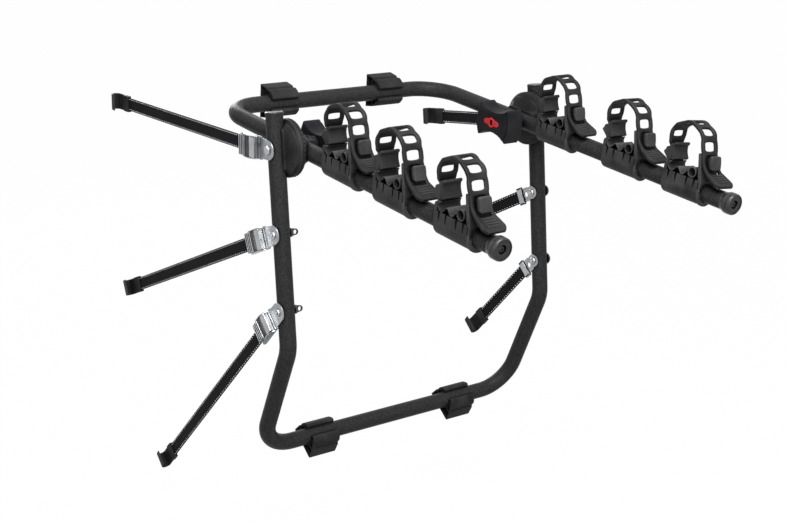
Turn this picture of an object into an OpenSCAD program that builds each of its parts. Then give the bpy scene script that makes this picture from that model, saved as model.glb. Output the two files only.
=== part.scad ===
// Trunk mounted bike rack, in millimetres, Z up.
// X runs to the right, the arms point to -Y, the vehicle is on the +Y side.
// The origin is the middle of the lower cross tube.

/* [Tubes] */
// outside diameter of both frames' tube
tube_d = 30; // [25:0.5:35]
// wall of the tube
tube_wall = 2; // [1.5:0.1:3]
// clearance between a tube and what is saddled or plugged on it
tube_clear = 0.06; // [0.02:0.01:0.1]

/* [Lower frame] */
// distance between the axes of the two uprights
upright_gap = 583; // [500:1:650]
// from the cross tube's axis to the knee, along the leg
leg_len = 235.5; // [180:0.5:300]
// slope of the legs from the vertical
leg_angle = 25.3; // [10:0.1:40]
// from the knee to the hub axis, along the upright
upright_len = 348.4; // [280:0.1:420]
// slope of the uprights from the vertical
upright_lean = 4.2; // [0:0.1:10]
// upright above the hub axis
upright_top = 60; // [45:1:80]
// bend radius of the knee
knee_r = 60; // [50:1:90]
// bend radius of the two feet corners
foot_r = 65; // [50:1:90]

/* [Carrier frame] */
// distance between the axes of the two arms
arm_gap = 494; // [420:1:520]
// arm from the hub axis to the tube's front end
arm_len = 519; // [420:1:600]
// from the hub axis to the rear cross tube's axis
rear_len = 255.6; // [200:0.1:320]
// bend radius of the rear corners
rear_r = 70; // [55:1:90]
// slope of the arms, front ends down
arm_drop = 7.9; // [0:0.1:20]

/* [Hubs] */
// diameter of the two plates of a hub
hub_d = 100; // [80:1:120]
// thickness of a plate at its rim
hub_plate_t = 9.6; // [7:0.1:13]
// running gap between the two plates
hub_gap = 0.3; // [0.2:0.05:0.5]
// grooves around the arm plate's rim
rim_grooves = 40; // [24:2:60]
// radius of one rim groove
rim_groove_r = 1.3; // [0.8:0.1:2]
// half length of a saddle along its tube
saddle_half = 36; // [28:1:42]
// half width of a saddle across its tube
saddle_wide = 20; // [18:0.5:24]
// diameter of the hub bolt
hub_bolt_d = 10; // [8:0.5:12]
// radial clearance of the hub bolt in its holes
bolt_clear = 0.08; // [0.02:0.01:0.1]
// inner face of the saddle washer, from the arm's axis
washer_face = 21; // [18:0.5:26]

/* [Knobs] */
// knob length along the arm
knob_l = 92; // [70:1:110]
// knob height
knob_h = 63; // [50:1:80]
// knob thickness without its neck
knob_t = 37; // [28:1:45]
// depth of the hollow in each long side
knob_waist = 12; // [6:0.5:16]
// radius of the hollow in each long side
knob_waist_r = 62; // [45:1:90]
// neck behind the knob
knob_neck = 7.4; // [4:0.1:12]
// length of the four-lobed insert
insert_l = 44; // [30:1:50]
// height of the four-lobed insert
insert_h = 23; // [16:1:30]
// clearance around the insert
insert_clear = 0.1; // [0.05:0.01:0.2]

/* [Pads] */
// length of a pad along its tube
pad_l = 58; // [45:1:80]
// foot face from the tube's axis
pad_foot = 27; // [23:0.5:34]
// half height of the foot
pad_half = 32; // [26:0.5:40]
// radial clearance of a pad on its tube
pad_clear = 0.1; // [0.05:0.01:0.1]
// upper pads from the middle
pad_up_x = 122; // [90:1:160]
// lower pads from the middle
pad_low_x = 163; // [120:1:190]
// turn of the upper pads
pad_up_turn = 4.5; // [-15:0.5:20]
// turn of the lower pads, foot to the rear and down
pad_low_turn = -49; // [-70:0.5:-20]

/* [Cradles] */
// first cradle's middle on the left arm, from the hub axis
left_1 = 142; // [120:0.5:160]
// second left cradle, forward of the middle between its neighbours
left_2 = -6; // [-20:0.5:20]
// third cradle's middle on the left arm, from the arm's front end
left_3 = 81; // [78:0.5:95]
// first cradle's middle on the right arm, from the hub axis
right_1 = 113.5; // [100:0.5:130]
// second right cradle, forward of the middle between its neighbours
right_2 = 14; // [-20:0.5:20]
// third cradle's middle on the right arm, from the arm's front end
right_3 = 90; // [78:0.5:100]
// roll of the second right cradle about its arm
right_2_roll = 3; // [0:0.5:8]
// roll of the third right cradle about its arm
right_3_roll = 6; // [0:0.5:8]
// length of a cradle's sleeve
sleeve_l = 83.5; // [80:0.5:92]
// radius of the sleeve
sleeve_r = 21.5; // [20:0.5:24]
// radius of the flange at the sleeve's front end
flange_r = 22.5; // [21:0.5:25]
// thickness of the flange
flange_t = 4.5; // [3:0.5:7]
// lowest points of the wavy liner above the arm's axis
seat_z = 21.3; // [20.5:0.1:24]
// height of the liner's waves
wave_h = 9.2; // [6:0.1:11]
// length of one wave
wave_l = 23; // [19:0.5:25]
// first crest behind the sleeve's middle
crest_back = 13.6; // [11:0.1:15]
// thickness of the liner
liner_t = 1.8; // [1.4:0.1:2.4]
// radius of the liner's curl below the cushion
curl_r = 8.5; // [7:0.1:9]
// outside radius of the tube at the liner's front end
loop_r = 8.8; // [7:0.1:9.4]
// gap between the liner and the saddle
liner_gap = 0.3; // [0.2:0.05:0.5]
// front face of the inner post behind the sleeve's middle
post_back = 35; // [34.6:0.1:37]
// thickness of the inner post
post_t = 6.5; // [5:0.1:6.5]
// top of the inner post above the arm's axis
post_z = 64; // [60:1:67]
// width of the posts
post_w = 34; // [28:0.5:38]
// top of the outer post above the arm's axis
outer_z = 65; // [58:0.5:68]
// thickness of the outer post
outer_t = 6.4; // [5:0.1:8]
// width of a slot in the saddle's sides, at its top
slot_w = 4.4; // [3:0.1:6]
// depth of those slots
slot_deep = 5.4; // [3:0.1:5.6]
// width of the peg's head
peg_head_w = 24; // [22:0.5:28]
// height of the peg's head
peg_head_h = 24; // [20:0.5:25]
// thickness of the peg's head at its top
peg_head_t = 6; // [4:0.5:8]
// width of the peg's neck
peg_neck = 16; // [12:0.5:18]

/* [Ladder straps] */
// width of a ladder strap
ladder_w = 37; // [30:0.5:42]
// thickness of a ladder strap
ladder_t = 5; // [3.5:0.1:5.5]
// width of a window
window_w = 22.5; // [18:0.5:24]
// height of a window
window_h = 15; // [12:0.5:16]
// height of the first window, above the root
first_window_h = 10; // [8:0.5:12]
// length of the pull tab past its bend
tab_l = 35; // [28:1:36]
// width of a ladder strap at its root
root_w = 22; // [16:0.5:22.4]
// radius of the root's barrel
barrel_r = 4.6; // [3.5:0.1:5]
// clearance of the barrel in the inner post
barrel_clear = 0.3; // [0.2:0.05:0.6]
// gap between the strap and the outer post
strap_gap = 0.3; // [0.2:0.05:0.8]
// slope of the strap's front leg
lean_out = 70.5; // [68:0.5:73]

/* [Webbing] */
// width of the webbing
web_w = 25; // [20:0.5:30]
// thickness of the webbing
web_t = 1.5; // [1.2:0.1:2.2]
// upper strap bolt below the hub axis, along the upright
bolt_mid = 143.5; // [120:0.5:165]
// lower strap bolt below the hub axis, along the upright
bolt_low = 277.5; // [250:0.5:300]
// radius of the loop in an eye nut
eye_loop_r = 3.5; // [2.5:0.1:3.8]
// diameter of the strap bolts
strap_bolt_d = 8; // [6:0.5:10]
// slope of the top left strap
left_top_slope = 2; // [-10:0.1:15]
// slope of the middle left strap
left_mid_slope = -21.4; // [-35:0.1:-10]
// slope of the low left strap
left_low_slope = -43.5; // [-60:0.1:-30]
// slope of the top right strap
right_top_slope = -4.8; // [-12:0.1:0]
// slope of the middle right strap
right_mid_slope = -25; // [-35:0.1:-10]
// slope of the low right strap
right_low_slope = -45; // [-60:0.1:-30]
// far end of the top left strap from its bolt
left_top_end = 520; // [300:1:700]
// far end of the middle left strap from its bolt
left_mid_end = 556; // [300:1:700]
// far end of the low left strap from its bolt
left_low_end = 570; // [300:1:700]
// far end of the top right strap from its bolt
right_top_end = 212; // [150:1:230]
// far end of the middle right strap from its bolt
right_mid_end = 180; // [150:1:230]
// far end of the low right strap from its bolt
right_low_end = 214; // [150:1:500]

/* [Buckles] */
// radius of a buckle's eye
eye_r = 17; // [13:0.5:20]
// width of a buckle
buckle_w = 40; // [34:0.5:46]
// length of a buckle from its bolt
buckle_l = 78; // [65:1:90]
// sheet of the buckles and plates
sheet_t = 2; // [1.5:0.1:3]
// cam pin from the bolt
cam_at = 50; // [42:1:56]
// radius of the cam pin
cam_pin_r = 2; // [1.5:0.1:3]
// clearance of the cam pin in the flanges
cam_clear = 0.08; // [0.02:0.01:0.1]
// radius of the eye of a strap plate
plate_eye_r = 12.5; // [11:0.5:16]
// band of a strap plate, from the bolt
plate_band = 23; // [20:0.5:30]
// length of the band along the strap
plate_band_l = 13; // [9:0.5:18]

/* [Hidden] */
$fn = 48;
// straights reach this far into the bends, which are thicker by the swell
lap = 0.4;
swell = 0.04;
// tubes are this much thicker in their bends
tube_swell = 0.3;
tube_r = tube_d / 2;
seat_r = tube_r + tube_clear;
xu = upright_gap / 2;
xa = arm_gap / 2;
// middle of the running gap between the plates of a hub
xj = (xu + xa) / 2;
knee_turn = leg_angle + upright_lean;
knee_t = knee_r * tan(knee_turn / 2);
knee_y = -leg_len * sin(leg_angle);
knee_z = leg_len * cos(leg_angle);
hub_y = knee_y + upright_len * sin(upright_lean);
hub_z = knee_z + upright_len * cos(upright_lean);
hub_r = hub_d / 2;
bolt_r = hub_bolt_d / 2;
sbolt_r = strap_bolt_d / 2;
// eye plates bear on the outer side of the left upright
x_left_eye = -(xu + tube_r + 0.1);
// strap plates bear on the inner side of the right upright
x_right_eye = xu - tube_r - 0.1;
// the top right plate bears on the saddle washer
x_top_eye = xa - washer_face - 0.1;
// back of the knob's neck
x_neck = x_top_eye - sheet_t - 0.1;
x_knob_back = x_neck - knob_neck;
x_knob_face = x_knob_back - knob_t;
// strap geometry in the cradle's side view: v to the front end, z up
leg_v = -45;
root_z = 52;
// root band, then runs (no turn) and bends (radius and turn) up to the tab
root_run = 6.7;
ladder_path = [
  [23.3, 0], [18, -65], [18, 0], [18, -50], [15, 0], [18, 25 - lean_out], [43.8, 0], [22, 46]];
// windows and the peg's slot, by their middles along the strap
window_at = [27.5, 55, 79, 103, 128.5];
slot_at = [151.5, 164];
slot_len = 16;
// place and heading after a number of steps of the path
function path_place(n) = n == 0 ? [leg_v, root_z + root_run, 90]
  : let (p = path_place(n - 1), size = ladder_path[n - 1][0], turn = ladder_path[n - 1][1], h = p[2])
    turn == 0 ? [p[0] + size * cos(h), p[1] + size * sin(h), h]
    : [p[0] + sign(turn) * size * (sin(h + turn) - sin(h)),
      p[1] - sign(turn) * size * (cos(h + turn) - cos(h)), h + turn];
// where the front leg's middle line passes the height of the peg
peg_z = 49;
leg_top = path_place(6);
leg_at_peg = leg_top[0] + (leg_top[1] - peg_z) / tan(lean_out);
// inner face of the peg's head in front of the outer post
head_back = 9.3;
// middles of the cradles from the hub axis
left_third = arm_len - left_3;
right_third = arm_len - right_3;
left_at = [left_1, (left_1 + left_third) / 2 + left_2, left_third];
right_at = [right_1, (right_1 + right_third) / 2 + right_2, right_third];
right_roll = [0, right_2_roll, right_3_roll];
steel = [0.72, 0.73, 0.74];
black = [0.09, 0.09, 0.10];
rubber = [0.06, 0.06, 0.06];
nylon = [0.12, 0.12, 0.12];
red = [0.75, 0.13, 0.15];

// places children at the hub axis, turned with the uprights
module on_upright(side) {
  translate([side * xu, hub_y, hub_z])
    rotate([-upright_lean, 0, 0])
      children();
}

// places children at the hub axis, turned with the arms
module on_arms() {
  translate([0, hub_y, hub_z])
    rotate([arm_drop, 0, 0])
      children();
}

// cylinder along X between two values of x
module bar_x(r, x0, x1) {
  translate([x0, 0, 0])
    rotate([0, 90, 0])
      cylinder(r = r, h = x1 - x0);
}

// quarter or part of a tube bend, from the local -Y side of its centre
module bend(r, d, a) {
  rotate_extrude(angle = a)
    translate([r, 0])
      circle(d = d + tube_swell);
}

// right half of the lower frame as a solid rod of diameter d
module low_half(d, over) {
  rotate([leg_angle, 0, 0]) {
    translate([xu - foot_r, 0, foot_r])
      rotate([90, 0, 0])
        rotate([0, 0, -90])
          bend(foot_r, d, 90);
    translate([xu, 0, foot_r - lap])
      cylinder(d = d, h = leg_len - foot_r - knee_t + 2 * lap);
    translate([xu, knee_r, leg_len - knee_t])
      rotate([0, 90, 0])
        rotate([0, 0, -90 - knee_turn])
          bend(knee_r, d, knee_turn);
  }
  translate([xu, knee_y, knee_z])
    rotate([-upright_lean, 0, 0])
      translate([0, 0, knee_t - lap])
        cylinder(d = d, h = upright_len + upright_top - knee_t + lap + over);
}

module low_rod(d, over) {
  low_half(d, over);
  mirror([1, 0, 0])
    low_half(d, over);
  rotate([0, 90, 0])
    cylinder(d = d, h = upright_gap - 2 * foot_r + 2 * lap, center = true);
}

module lower_frame() {
  color(black)
    difference() {
      low_rod(tube_d, 0);
      low_rod(tube_d - 2 * tube_wall, 1);
      for (side = [-1, 1])
        on_upright(side) {
          bar_x(bolt_r + bolt_clear, -tube_d, tube_d);
          translate([0, 0, -bolt_mid])
            bar_x(sbolt_r + bolt_clear, -tube_d, tube_d);
          translate([0, 0, -bolt_low])
            bar_x(sbolt_r + bolt_clear, -tube_d, tube_d);
        }
    }
}

// flat cap with a rounded edge and a hollow plug inside the tube
module upright_caps() {
  plug = tube_r - tube_wall - tube_clear;
  color(nylon)
    for (side = [-1, 1])
      on_upright(side)
        translate([0, 0, upright_top])
          rotate_extrude()
            polygon([[0, 0.1], [plug - 2, 0.1], [plug - 2, -14], [plug - 0.4, -14],
              [plug, -13], [plug, 0.1], [tube_r + 0.6, 0.1], [tube_r + 0.6, 2],
              [tube_r - 0.4, 3], [0, 3.4]]);
}

// side view of a pad: foot on the +x side, mouth on the -x side
module pad_profile() {
  ring = tube_r + pad_clear + 2.1;
  top = pad_half - 3.5;
  lip_x = -19;
  lip_y = 13;
  difference() {
    polygon([[pad_foot, -pad_half], [pad_foot, pad_half], [6, top], [lip_x, lip_y],
      [lip_x, -lip_y], [6, -top]]);
    circle(r = tube_r + pad_clear);
    polygon([[0, 0], [-40, 27], [-40, -27]]);
    for (flip = [0, 1])
      mirror([0, flip])
        difference() {
          union() {
            polygon([[pad_foot - 2.6, 3], [pad_foot - 2.6, pad_half - 3.2],
              [9, top - 1.9], [9, 3]]);
            polygon([[5.6, top - 3], [-14, 12.8], [-14, 9], [5.6, 9]]);
          }
          circle(r = ring);
        }
  }
}

module pad_solid() {
  rotate([90, 0, 90])
    linear_extrude(height = pad_l, center = true)
      pad_profile();
}

module upper_pad(side) {
  color(rubber)
    on_arms()
      translate([side * pad_up_x, rear_len, 0])
        rotate([pad_up_turn - arm_drop, 0, 0])
          pad_solid();
}

module lower_pad(side) {
  color(rubber)
    translate([side * pad_low_x, 0, 0])
      rotate([pad_low_turn, 0, 0])
        pad_solid();
}

module upper_pad_left() {
  upper_pad(-1);
}

module upper_pad_right() {
  upper_pad(1);
}

module lower_pad_left() {
  lower_pad(-1);
}

module lower_pad_right() {
  lower_pad(1);
}

// solid of revolution about X, profile in radius and x
module turned_x(points) {
  rotate([0, 90, 0])
    rotate_extrude()
      polygon(points);
}

// plate on the inner side of an upright, drawn for the right-hand side
module hub_plate() {
  x0 = xj - xu + hub_gap / 2;
  x1 = x0 + hub_plate_t;
  bore = bolt_r + bolt_clear;
  color(black)
    difference() {
      union() {
        turned_x([[bore, x0], [hub_r, x0], [hub_r, x0 + 4.5], [hub_r - 1.5, x0 + 6.5],
          [hub_r - 5, x1], [bore, x1]]);
        translate([x1 - 1, -saddle_wide, -saddle_half])
          cube([-2 - x1 + 1, 2 * saddle_wide, 2 * saddle_half]);
        for (up = [0, 1])
          mirror([0, 0, up])
            rotate([90, 0, 0])
              linear_extrude(height = 26, center = true)
                polygon([[x1 - 1, saddle_half - 1], [-4, saddle_half - 1],
                  [x1 - 1, hub_r - 6]]);
        for (turn = [0, 1])
          mirror([0, turn, 0])
            linear_extrude(height = 30, center = true)
              polygon([[x1 - 1, saddle_wide - 1], [-5, saddle_wide - 1],
                [x1 - 1, hub_r - 9]]);
      }
      cylinder(r = seat_r, h = 3 * hub_d, center = true);
      bar_x(bore, -tube_d, tube_d);
    }
}

module hub_plate_right() {
  on_upright(1)
    hub_plate();
}

module hub_plate_left() {
  mirror([1, 0, 0])
    hub_plate_right();
}

// plate on the outer side of an arm with the knurled rim, right-hand side
module arm_plate() {
  x0 = xj - xa - hub_gap / 2;
  x1 = x0 - hub_plate_t;
  bore = bolt_r + bolt_clear;
  color(black)
    difference() {
      union() {
        turned_x([[bore, x0], [hub_r, x0], [hub_r, x0 - 5], [hub_r - 3, x0 - 7],
          [hub_r - 9, x1], [bore, x1]]);
        translate([2, -saddle_half, -saddle_wide])
          cube([x1 + 1 - 2, 2 * saddle_half, 2 * saddle_wide]);
        for (turn = [0, 1])
          mirror([0, turn, 0])
            linear_extrude(height = 26, center = true)
              polygon([[x1 + 1, saddle_half - 1], [4, saddle_half - 1],
                [x1 + 1, hub_r - 9]]);
        for (up = [0, 1])
          mirror([0, 0, up])
            rotate([90, 0, 0])
              linear_extrude(height = 30, center = true)
                polygon([[x1 + 1, saddle_wide - 1], [5, saddle_wide - 1],
                  [x1 + 1, hub_r - 13]]);
      }
      rotate([90, 0, 0])
        cylinder(r = seat_r, h = 3 * hub_d, center = true);
      bar_x(bore, -tube_d, tube_d);
      for (k = [0 : rim_grooves - 1])
        rotate([k * 360 / rim_grooves, 0, 0])
          translate([0, hub_r + 0.4, 0])
            bar_x(rim_groove_r, x0 - 4.2, x0 - 0.9);
    }
}

module arm_plate_right() {
  on_arms()
    translate([xa, 0, 0])
      arm_plate();
}

module arm_plate_left() {
  mirror([1, 0, 0])
    arm_plate_right();
}

// saddle between an arm and its knob
module saddle_washers() {
  color(nylon)
    for (side = [0, 1])
      mirror([side, 0, 0])
        on_arms()
          translate([xa, 0, 0])
            difference() {
              union() {
                translate([-washer_face, -19, -15])
                  cube([washer_face - 5, 38, 30]);
                bar_x(17, -washer_face, -washer_face + 5);
              }
              rotate([90, 0, 0])
                cylinder(r = seat_r, h = hub_d, center = true);
              bar_x(bolt_r + bolt_clear, -tube_d, tube_d);
            }
}

// left bolt has a flat head on the eye plate, right bolt a domed head
module hub_bolts() {
  tip = x_knob_face + 12;
  color(steel)
    on_arms() {
      bar_x(bolt_r, x_left_eye - sheet_t - 0.1, -tip);
      translate([x_left_eye - sheet_t - 0.1, 0, 0])
        turned_x([[0, 0], [8.5, 0], [8.5, -1.6], [7.2, -3.2], [0, -3.8]]);
      bar_x(bolt_r, tip, xu + tube_r + 0.1);
      translate([xu + tube_r + 0.1, 0, 0])
        turned_x([[0, 0], [11, 0], [11, 2], [9.4, 5], [5.6, 7.2], [0, 8]]);
    }
}

// both strap bolts of the left upright, then of the right one
module strap_bolts() {
  color(steel)
    for (down = [bolt_mid, bolt_low]) {
      on_upright(-1)
        translate([0, 0, -down]) {
          bar_x(sbolt_r, -tube_r - sheet_t - 0.2, tube_r + 5);
          translate([-tube_r - sheet_t - 0.2, 0, 0])
            turned_x([[0, 0], [7, 0], [7, -1.4], [5.8, -2.8], [0, -3.3]]);
        }
      on_upright(1)
        translate([0, 0, -down]) {
          bar_x(sbolt_r, -tube_r - sheet_t - 0.2, tube_r + 5);
          translate([-tube_r - sheet_t - 0.2, 0, 0])
            turned_x([[0, 0], [6, 0], [6, -1.4], [4.8, -2.8], [0, -3.2]]);
        }
    }
}

// black loop nuts on the inner side of the left upright
module eye_nuts() {
  color(nylon)
    for (down = [bolt_mid, bolt_low])
      on_upright(-1)
        translate([tube_r + 0.1, 0, -down])
          difference() {
            union() {
              bar_x(8, 0, 5);
              rotate([90, 0, 0])
                linear_extrude(height = 4, center = true)
                  difference() {
                    union() {
                      translate([12.4, 0])
                        circle(r = eye_loop_r + 2.1);
                      polygon([[0.5, 8], [14, 5.2], [14, -5.2], [0.5, -8]]);
                    }
                    translate([11.6, 0])
                      circle(r = eye_loop_r);
                  }
            }
            bar_x(sbolt_r + bolt_clear, -1, 5.2);
          }
}

// black domed nuts on the outer side of the right upright
module dome_nuts() {
  color(nylon)
    for (down = [bolt_mid, bolt_low])
      on_upright(1)
        translate([tube_r + 0.1, 0, -down])
          difference() {
            turned_x([[0, 0], [11.5, 0], [11.5, 2], [10.4, 4.4], [7.6, 7], [4, 8.2], [0, 8.6]]);
            bar_x(sbolt_r + bolt_clear, -1, 5.4);
          }
}

// right half of the carrier as a solid rod of diameter d
module carrier_half(d, over) {
  translate([xa, -arm_len - over, 0])
    rotate([-90, 0, 0])
      cylinder(d = d, h = arm_len + over + rear_len - rear_r + lap);
  translate([xa - rear_r, rear_len - rear_r, 0])
    bend(rear_r, d, 90);
}

module carrier_rod(d, over) {
  carrier_half(d, over);
  mirror([1, 0, 0])
    carrier_half(d, over);
  translate([0, rear_len, 0])
    rotate([0, 90, 0])
      cylinder(d = d, h = arm_gap - 2 * rear_r + 2 * lap, center = true);
}

module carrier_frame() {
  color(black)
    on_arms()
      difference() {
        carrier_rod(tube_d, 0);
        carrier_rod(tube_d - 2 * tube_wall, 1);
        bar_x(bolt_r + bolt_clear, -xa - tube_d, -xa + tube_d);
        bar_x(bolt_r + bolt_clear, xa - tube_d, xa + tube_d);
      }
}

// flared cap with a rounded rim, a face ring and a screw recess
module arm_caps() {
  plug = tube_r - tube_wall - tube_clear;
  color(nylon)
    on_arms()
      for (side = [-1, 1])
        translate([side * xa, -arm_len, 0])
          rotate([90, 0, 0])
            rotate_extrude()
              polygon([[2.58, -16], [plug - 0.4, -16], [plug, -15], [plug, 0.1],
                [seat_r, 0.1], [seat_r, -9], [seat_r + 0.5, -9], [16.2, -5.6],
                [17.5, -2.6], [18.2, -0.8], [18.2, 6.4], [17.7, 9], [16.2, 11.4],
                [13.9, 13], [12.8, 13], [12.2, 12], [7.2, 12], [7.2, 9], [2.58, 9]]);
}

module cap_screws() {
  color(steel)
    on_arms()
      for (side = [-1, 1])
        translate([side * xa, -arm_len, 0])
          rotate([90, 0, 0])
            difference() {
              rotate_extrude()
                polygon([[0, -19], [2.5, -19], [2.5, 9.1], [5.4, 9.1], [5.4, 10.2],
                  [4.6, 11.4], [3.2, 11.9], [0, 11.9]]);
              translate([0, 0, 9.6])
                cube([3, 3, 6], center = true);
            }
}

// bow-tie outline of the knob in its y, z plane
module knob_outline() {
  intersection() {
    difference() {
      square([knob_l, knob_h], center = true);
      for (flip = [-1, 1])
        translate([0, flip * (knob_h / 2 - knob_waist + knob_waist_r)])
          circle(r = knob_waist_r, $fn = 96);
    }
    translate([-knob_l / 2 + 64, 0])
      circle(r = 64, $fn = 96);
    translate([knob_l / 2 - 64, 0])
      circle(r = 64, $fn = 96);
  }
}

// four-lobed outline of the insert
module insert_outline(more) {
  circle(r = insert_h / 2 + more);
  for (side = [-1, 1])
    translate([side * (insert_l / 2 - 7), 0])
      circle(r = 7 + more);
}

// drawn for the right-hand side, face to the middle
module knob() {
  color(nylon)
    difference() {
      union() {
        translate([x_knob_face + 3, 0, 0])
          rotate([90, 0, 90])
            linear_extrude(height = knob_t - 3)
              knob_outline();
        translate([x_knob_face, 0, 0])
          rotate([90, 0, 90])
            linear_extrude(height = 3.5)
              scale(0.95)
                knob_outline();
        bar_x(15.5, x_knob_back - 1, x_neck);
      }
      bar_x(bolt_r + bolt_clear, x_knob_face + 11, x_neck + 1);
      translate([x_knob_face - 1, 0, 0])
        rotate([90, 0, 90])
          linear_extrude(height = 4)
            insert_outline(insert_clear);
    }
}

module knob_right() {
  on_arms()
    knob();
}

module knob_left() {
  mirror([1, 0, 0])
    knob_right();
}

module insert() {
  color(red)
    difference() {
      translate([x_knob_face - 0.8, 0, 0])
        rotate([90, 0, 90])
          linear_extrude(height = 3.7)
            insert_outline(0);
      bar_x(5.2, x_knob_face - 2, x_knob_face + 1.9);
    }
}

module insert_right() {
  on_arms()
    insert();
}

module insert_left() {
  mirror([1, 0, 0])
    insert_right();
}

// side view of a cradle (v to the front end, z up) drawn out along X
module side_cut(w) {
  rotate([90, 0, -90])
    linear_extrude(height = w, center = true)
      children();
}

// places children on the arm of one side, at a distance from the hub axis
module on_arm(side, along, roll) {
  on_arms()
    translate([side * xa, -along, 0])
      rotate([0, roll, 0])
        children();
}

// the slanted frame of the outer post: x out of its front face, y up along it
module on_post() {
  back = ladder_t / 2 + strap_gap;
  translate([leg_at_peg - back * sin(lean_out), peg_z - back * cos(lean_out)])
    rotate(90 - lean_out)
      children();
}

// wavy middle line of the liner: a curl below the cushion, then the waves
function wave_z(v) = seat_z + wave_h / 2 * (1 + cos(360 * (v + crest_back) / wave_l));
first_valley = -crest_back - wave_l / 2;
waves_end = wave_l - crest_back + 1.4;
liner_line = concat(
  [for (a = [140 : 14.5 : 256])
    [first_valley + curl_r * cos(a), seat_z + curl_r * (1 + sin(a))]],
  [for (k = [0 : 16])
    let (v = first_valley + k * (waves_end - first_valley) / 16)
      [v, wave_z(v)]]);

// the line moved sideways by d
function beside(line, d) = [for (i = [0 : len(line) - 1])
  let (a = line[max(i - 1, 0)], b = line[min(i + 1, len(line) - 1)], t = (b - a) / norm(b - a))
    line[i] + d * [-t[1], t[0]]];

function turned_round(line) = [for (i = [len(line) - 1 : -1 : 0]) line[i]];

// one wedge-shaped slot in the saddle's sides
module slot_wedge(v) {
  polygon([[v - slot_w / 2, seat_z], [v + slot_w / 2, seat_z], [v + 0.6, 5], [v - 0.6, 5]]);
}

module cradle() {
  half = sleeve_l / 2;
  saddle_z = seat_z - liner_t / 2 - liner_gap;
  post_v = -post_back - post_t;
  color(nylon)
    difference() {
      union() {
        rotate([90, 0, 0])
          cylinder(r = sleeve_r, h = sleeve_l, center = true);
        translate([0, -half + flange_t, 0])
          rotate([90, 0, 0])
            cylinder(r = flange_r, h = flange_t);
        side_cut(2 * sleeve_r)
          polygon([[-half, 0], [-half, 30], [post_v + 2, 34], [-post_back, 34],
            [-post_back, saddle_z], [half, saddle_z], [half, 0]]);
        side_cut(post_w)
          polygon([[post_v, 18], [post_v, post_z - 3], [post_v + 2, post_z],
            [-post_back - 1, post_z], [-post_back, post_z - 1], [-post_back, 18]]);
        intersection() {
          side_cut(2 * sleeve_r)
            on_post()
              translate([-outer_t, -60])
                square([outer_t, 90]);
          rotate([90, 0, 0])
            linear_extrude(height = sleeve_l, center = true)
              polygon([[-sleeve_r, 0], [-sleeve_r, 28], [-post_w / 2, outer_z],
                [post_w / 2, outer_z], [sleeve_r, 28], [sleeve_r, 0]]);
        }
        side_cut(2 * sleeve_r)
          polygon([[half - flange_t, 0], [half - flange_t, 22], [half, 8], [half, 0]]);
        side_cut(peg_neck)
          on_post()
            translate([-2, -7])
              square([head_back + 3, 14]);
        side_cut(peg_head_w)
          on_post()
            translate([head_back, 0])
              polygon([[0, -peg_head_h / 2], [0, peg_head_h / 2],
                [peg_head_t - 1, peg_head_h / 2], [peg_head_t, peg_head_h / 2 - 1],
                [peg_head_t + 3.1, 2 - peg_head_h / 2], [peg_head_t + 1.3, -peg_head_h / 2]]);
        for (ear = [-1, 1])
          translate([ear * (root_w / 2 + 2.9), 0, 0])
            side_cut(4.8) {
              translate([leg_v, root_z])
                circle(r = 5.6);
              polygon([[leg_v, root_z + 5.6], [post_v + 1, root_z + 5], [post_v + 1, 34],
                [leg_v - 8, root_z - 7], [leg_v - 8.8, root_z - 4.6],
                [leg_v - 5.3, root_z - 1.6]]);
            }
      }
      rotate([90, 0, 0])
        cylinder(r = seat_r, h = 2 * sleeve_l, center = true);
      side_cut(2 * flange_r)
        polygon([[-post_back, saddle_z], [-post_back, 33], [first_valley, 40], [18, 40],
          [waves_end + 2 * loop_r, saddle_z]]);
      for (side = [-1, 1])
        translate([side * sleeve_r, 0, 0])
          side_cut(2 * slot_deep) {
            slot_wedge(-crest_back - 0.7 * wave_l);
            slot_wedge(-crest_back);
            slot_wedge(wave_l - crest_back + 1);
            slot_wedge(waves_end + 2 * loop_r - 2);
          }
      side_cut(root_w + 11)
        translate([leg_v, root_z])
          circle(r = cam_pin_r + cam_clear);
      side_cut(root_w + 2 * barrel_clear)
        translate([leg_v, root_z])
          circle(r = barrel_r + barrel_clear);
    }
}

// rubber cushion with lips
module cushion() {
  back = -post_back + 0.1;
  color(rubber)
    side_cut(post_w + 2)
      polygon([[back, 36], [back, post_z + 1], [-33.4, post_z + 3], [-30.6, post_z + 3],
        [-29, post_z + 1], [-29.4, post_z - 1], [-31.5, post_z - 2.5], [-32, 60], [-31, 52],
        [-28.5, 46], [-25.5, 40.6], [-26, 39.4], [-28, 37.6]]);
}

// wavy rubber liner that ends in a tube
module liner() {
  loop_v = waves_end - 1.4 + loop_r;
  color(rubber) {
    side_cut(2 * sleeve_r - 1)
      polygon(concat(beside(liner_line, liner_t / 2),
        turned_round(beside(liner_line, -liner_t / 2))));
    side_cut(2 * sleeve_r - 1)
      translate([loop_v, seat_z + loop_r])
        difference() {
          circle(r = loop_r);
          circle(r = loop_r - liner_t);
        }
  }
}

// straight of a band in its own plane, running along +x
module band_run(len, t, w) {
  translate([-lap, -t / 2, -w / 2])
    cube([len + 2 * lap, t, w]);
}

// bend of a band to the right by a degrees, from heading +x
module band_right(r, a, t, w) {
  translate([0, -r, 0])
    rotate([0, 0, 90 - a])
      rotate_extrude(angle = a)
        translate([r - (t + swell) / 2, -(w + swell) / 2])
          square([t + swell, w + swell]);
}

// bend of a band to the left by a degrees
module band_left(r, a, t, w) {
  translate([0, r, 0])
    rotate([0, 0, -90])
      rotate_extrude(angle = a)
        translate([r - (t + swell) / 2, -(w + swell) / 2])
          square([t + swell, w + swell]);
}

module after_right(r, a) {
  translate([r * sin(a), -r * (1 - cos(a)), 0])
    rotate([0, 0, -a])
      children();
}

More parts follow.
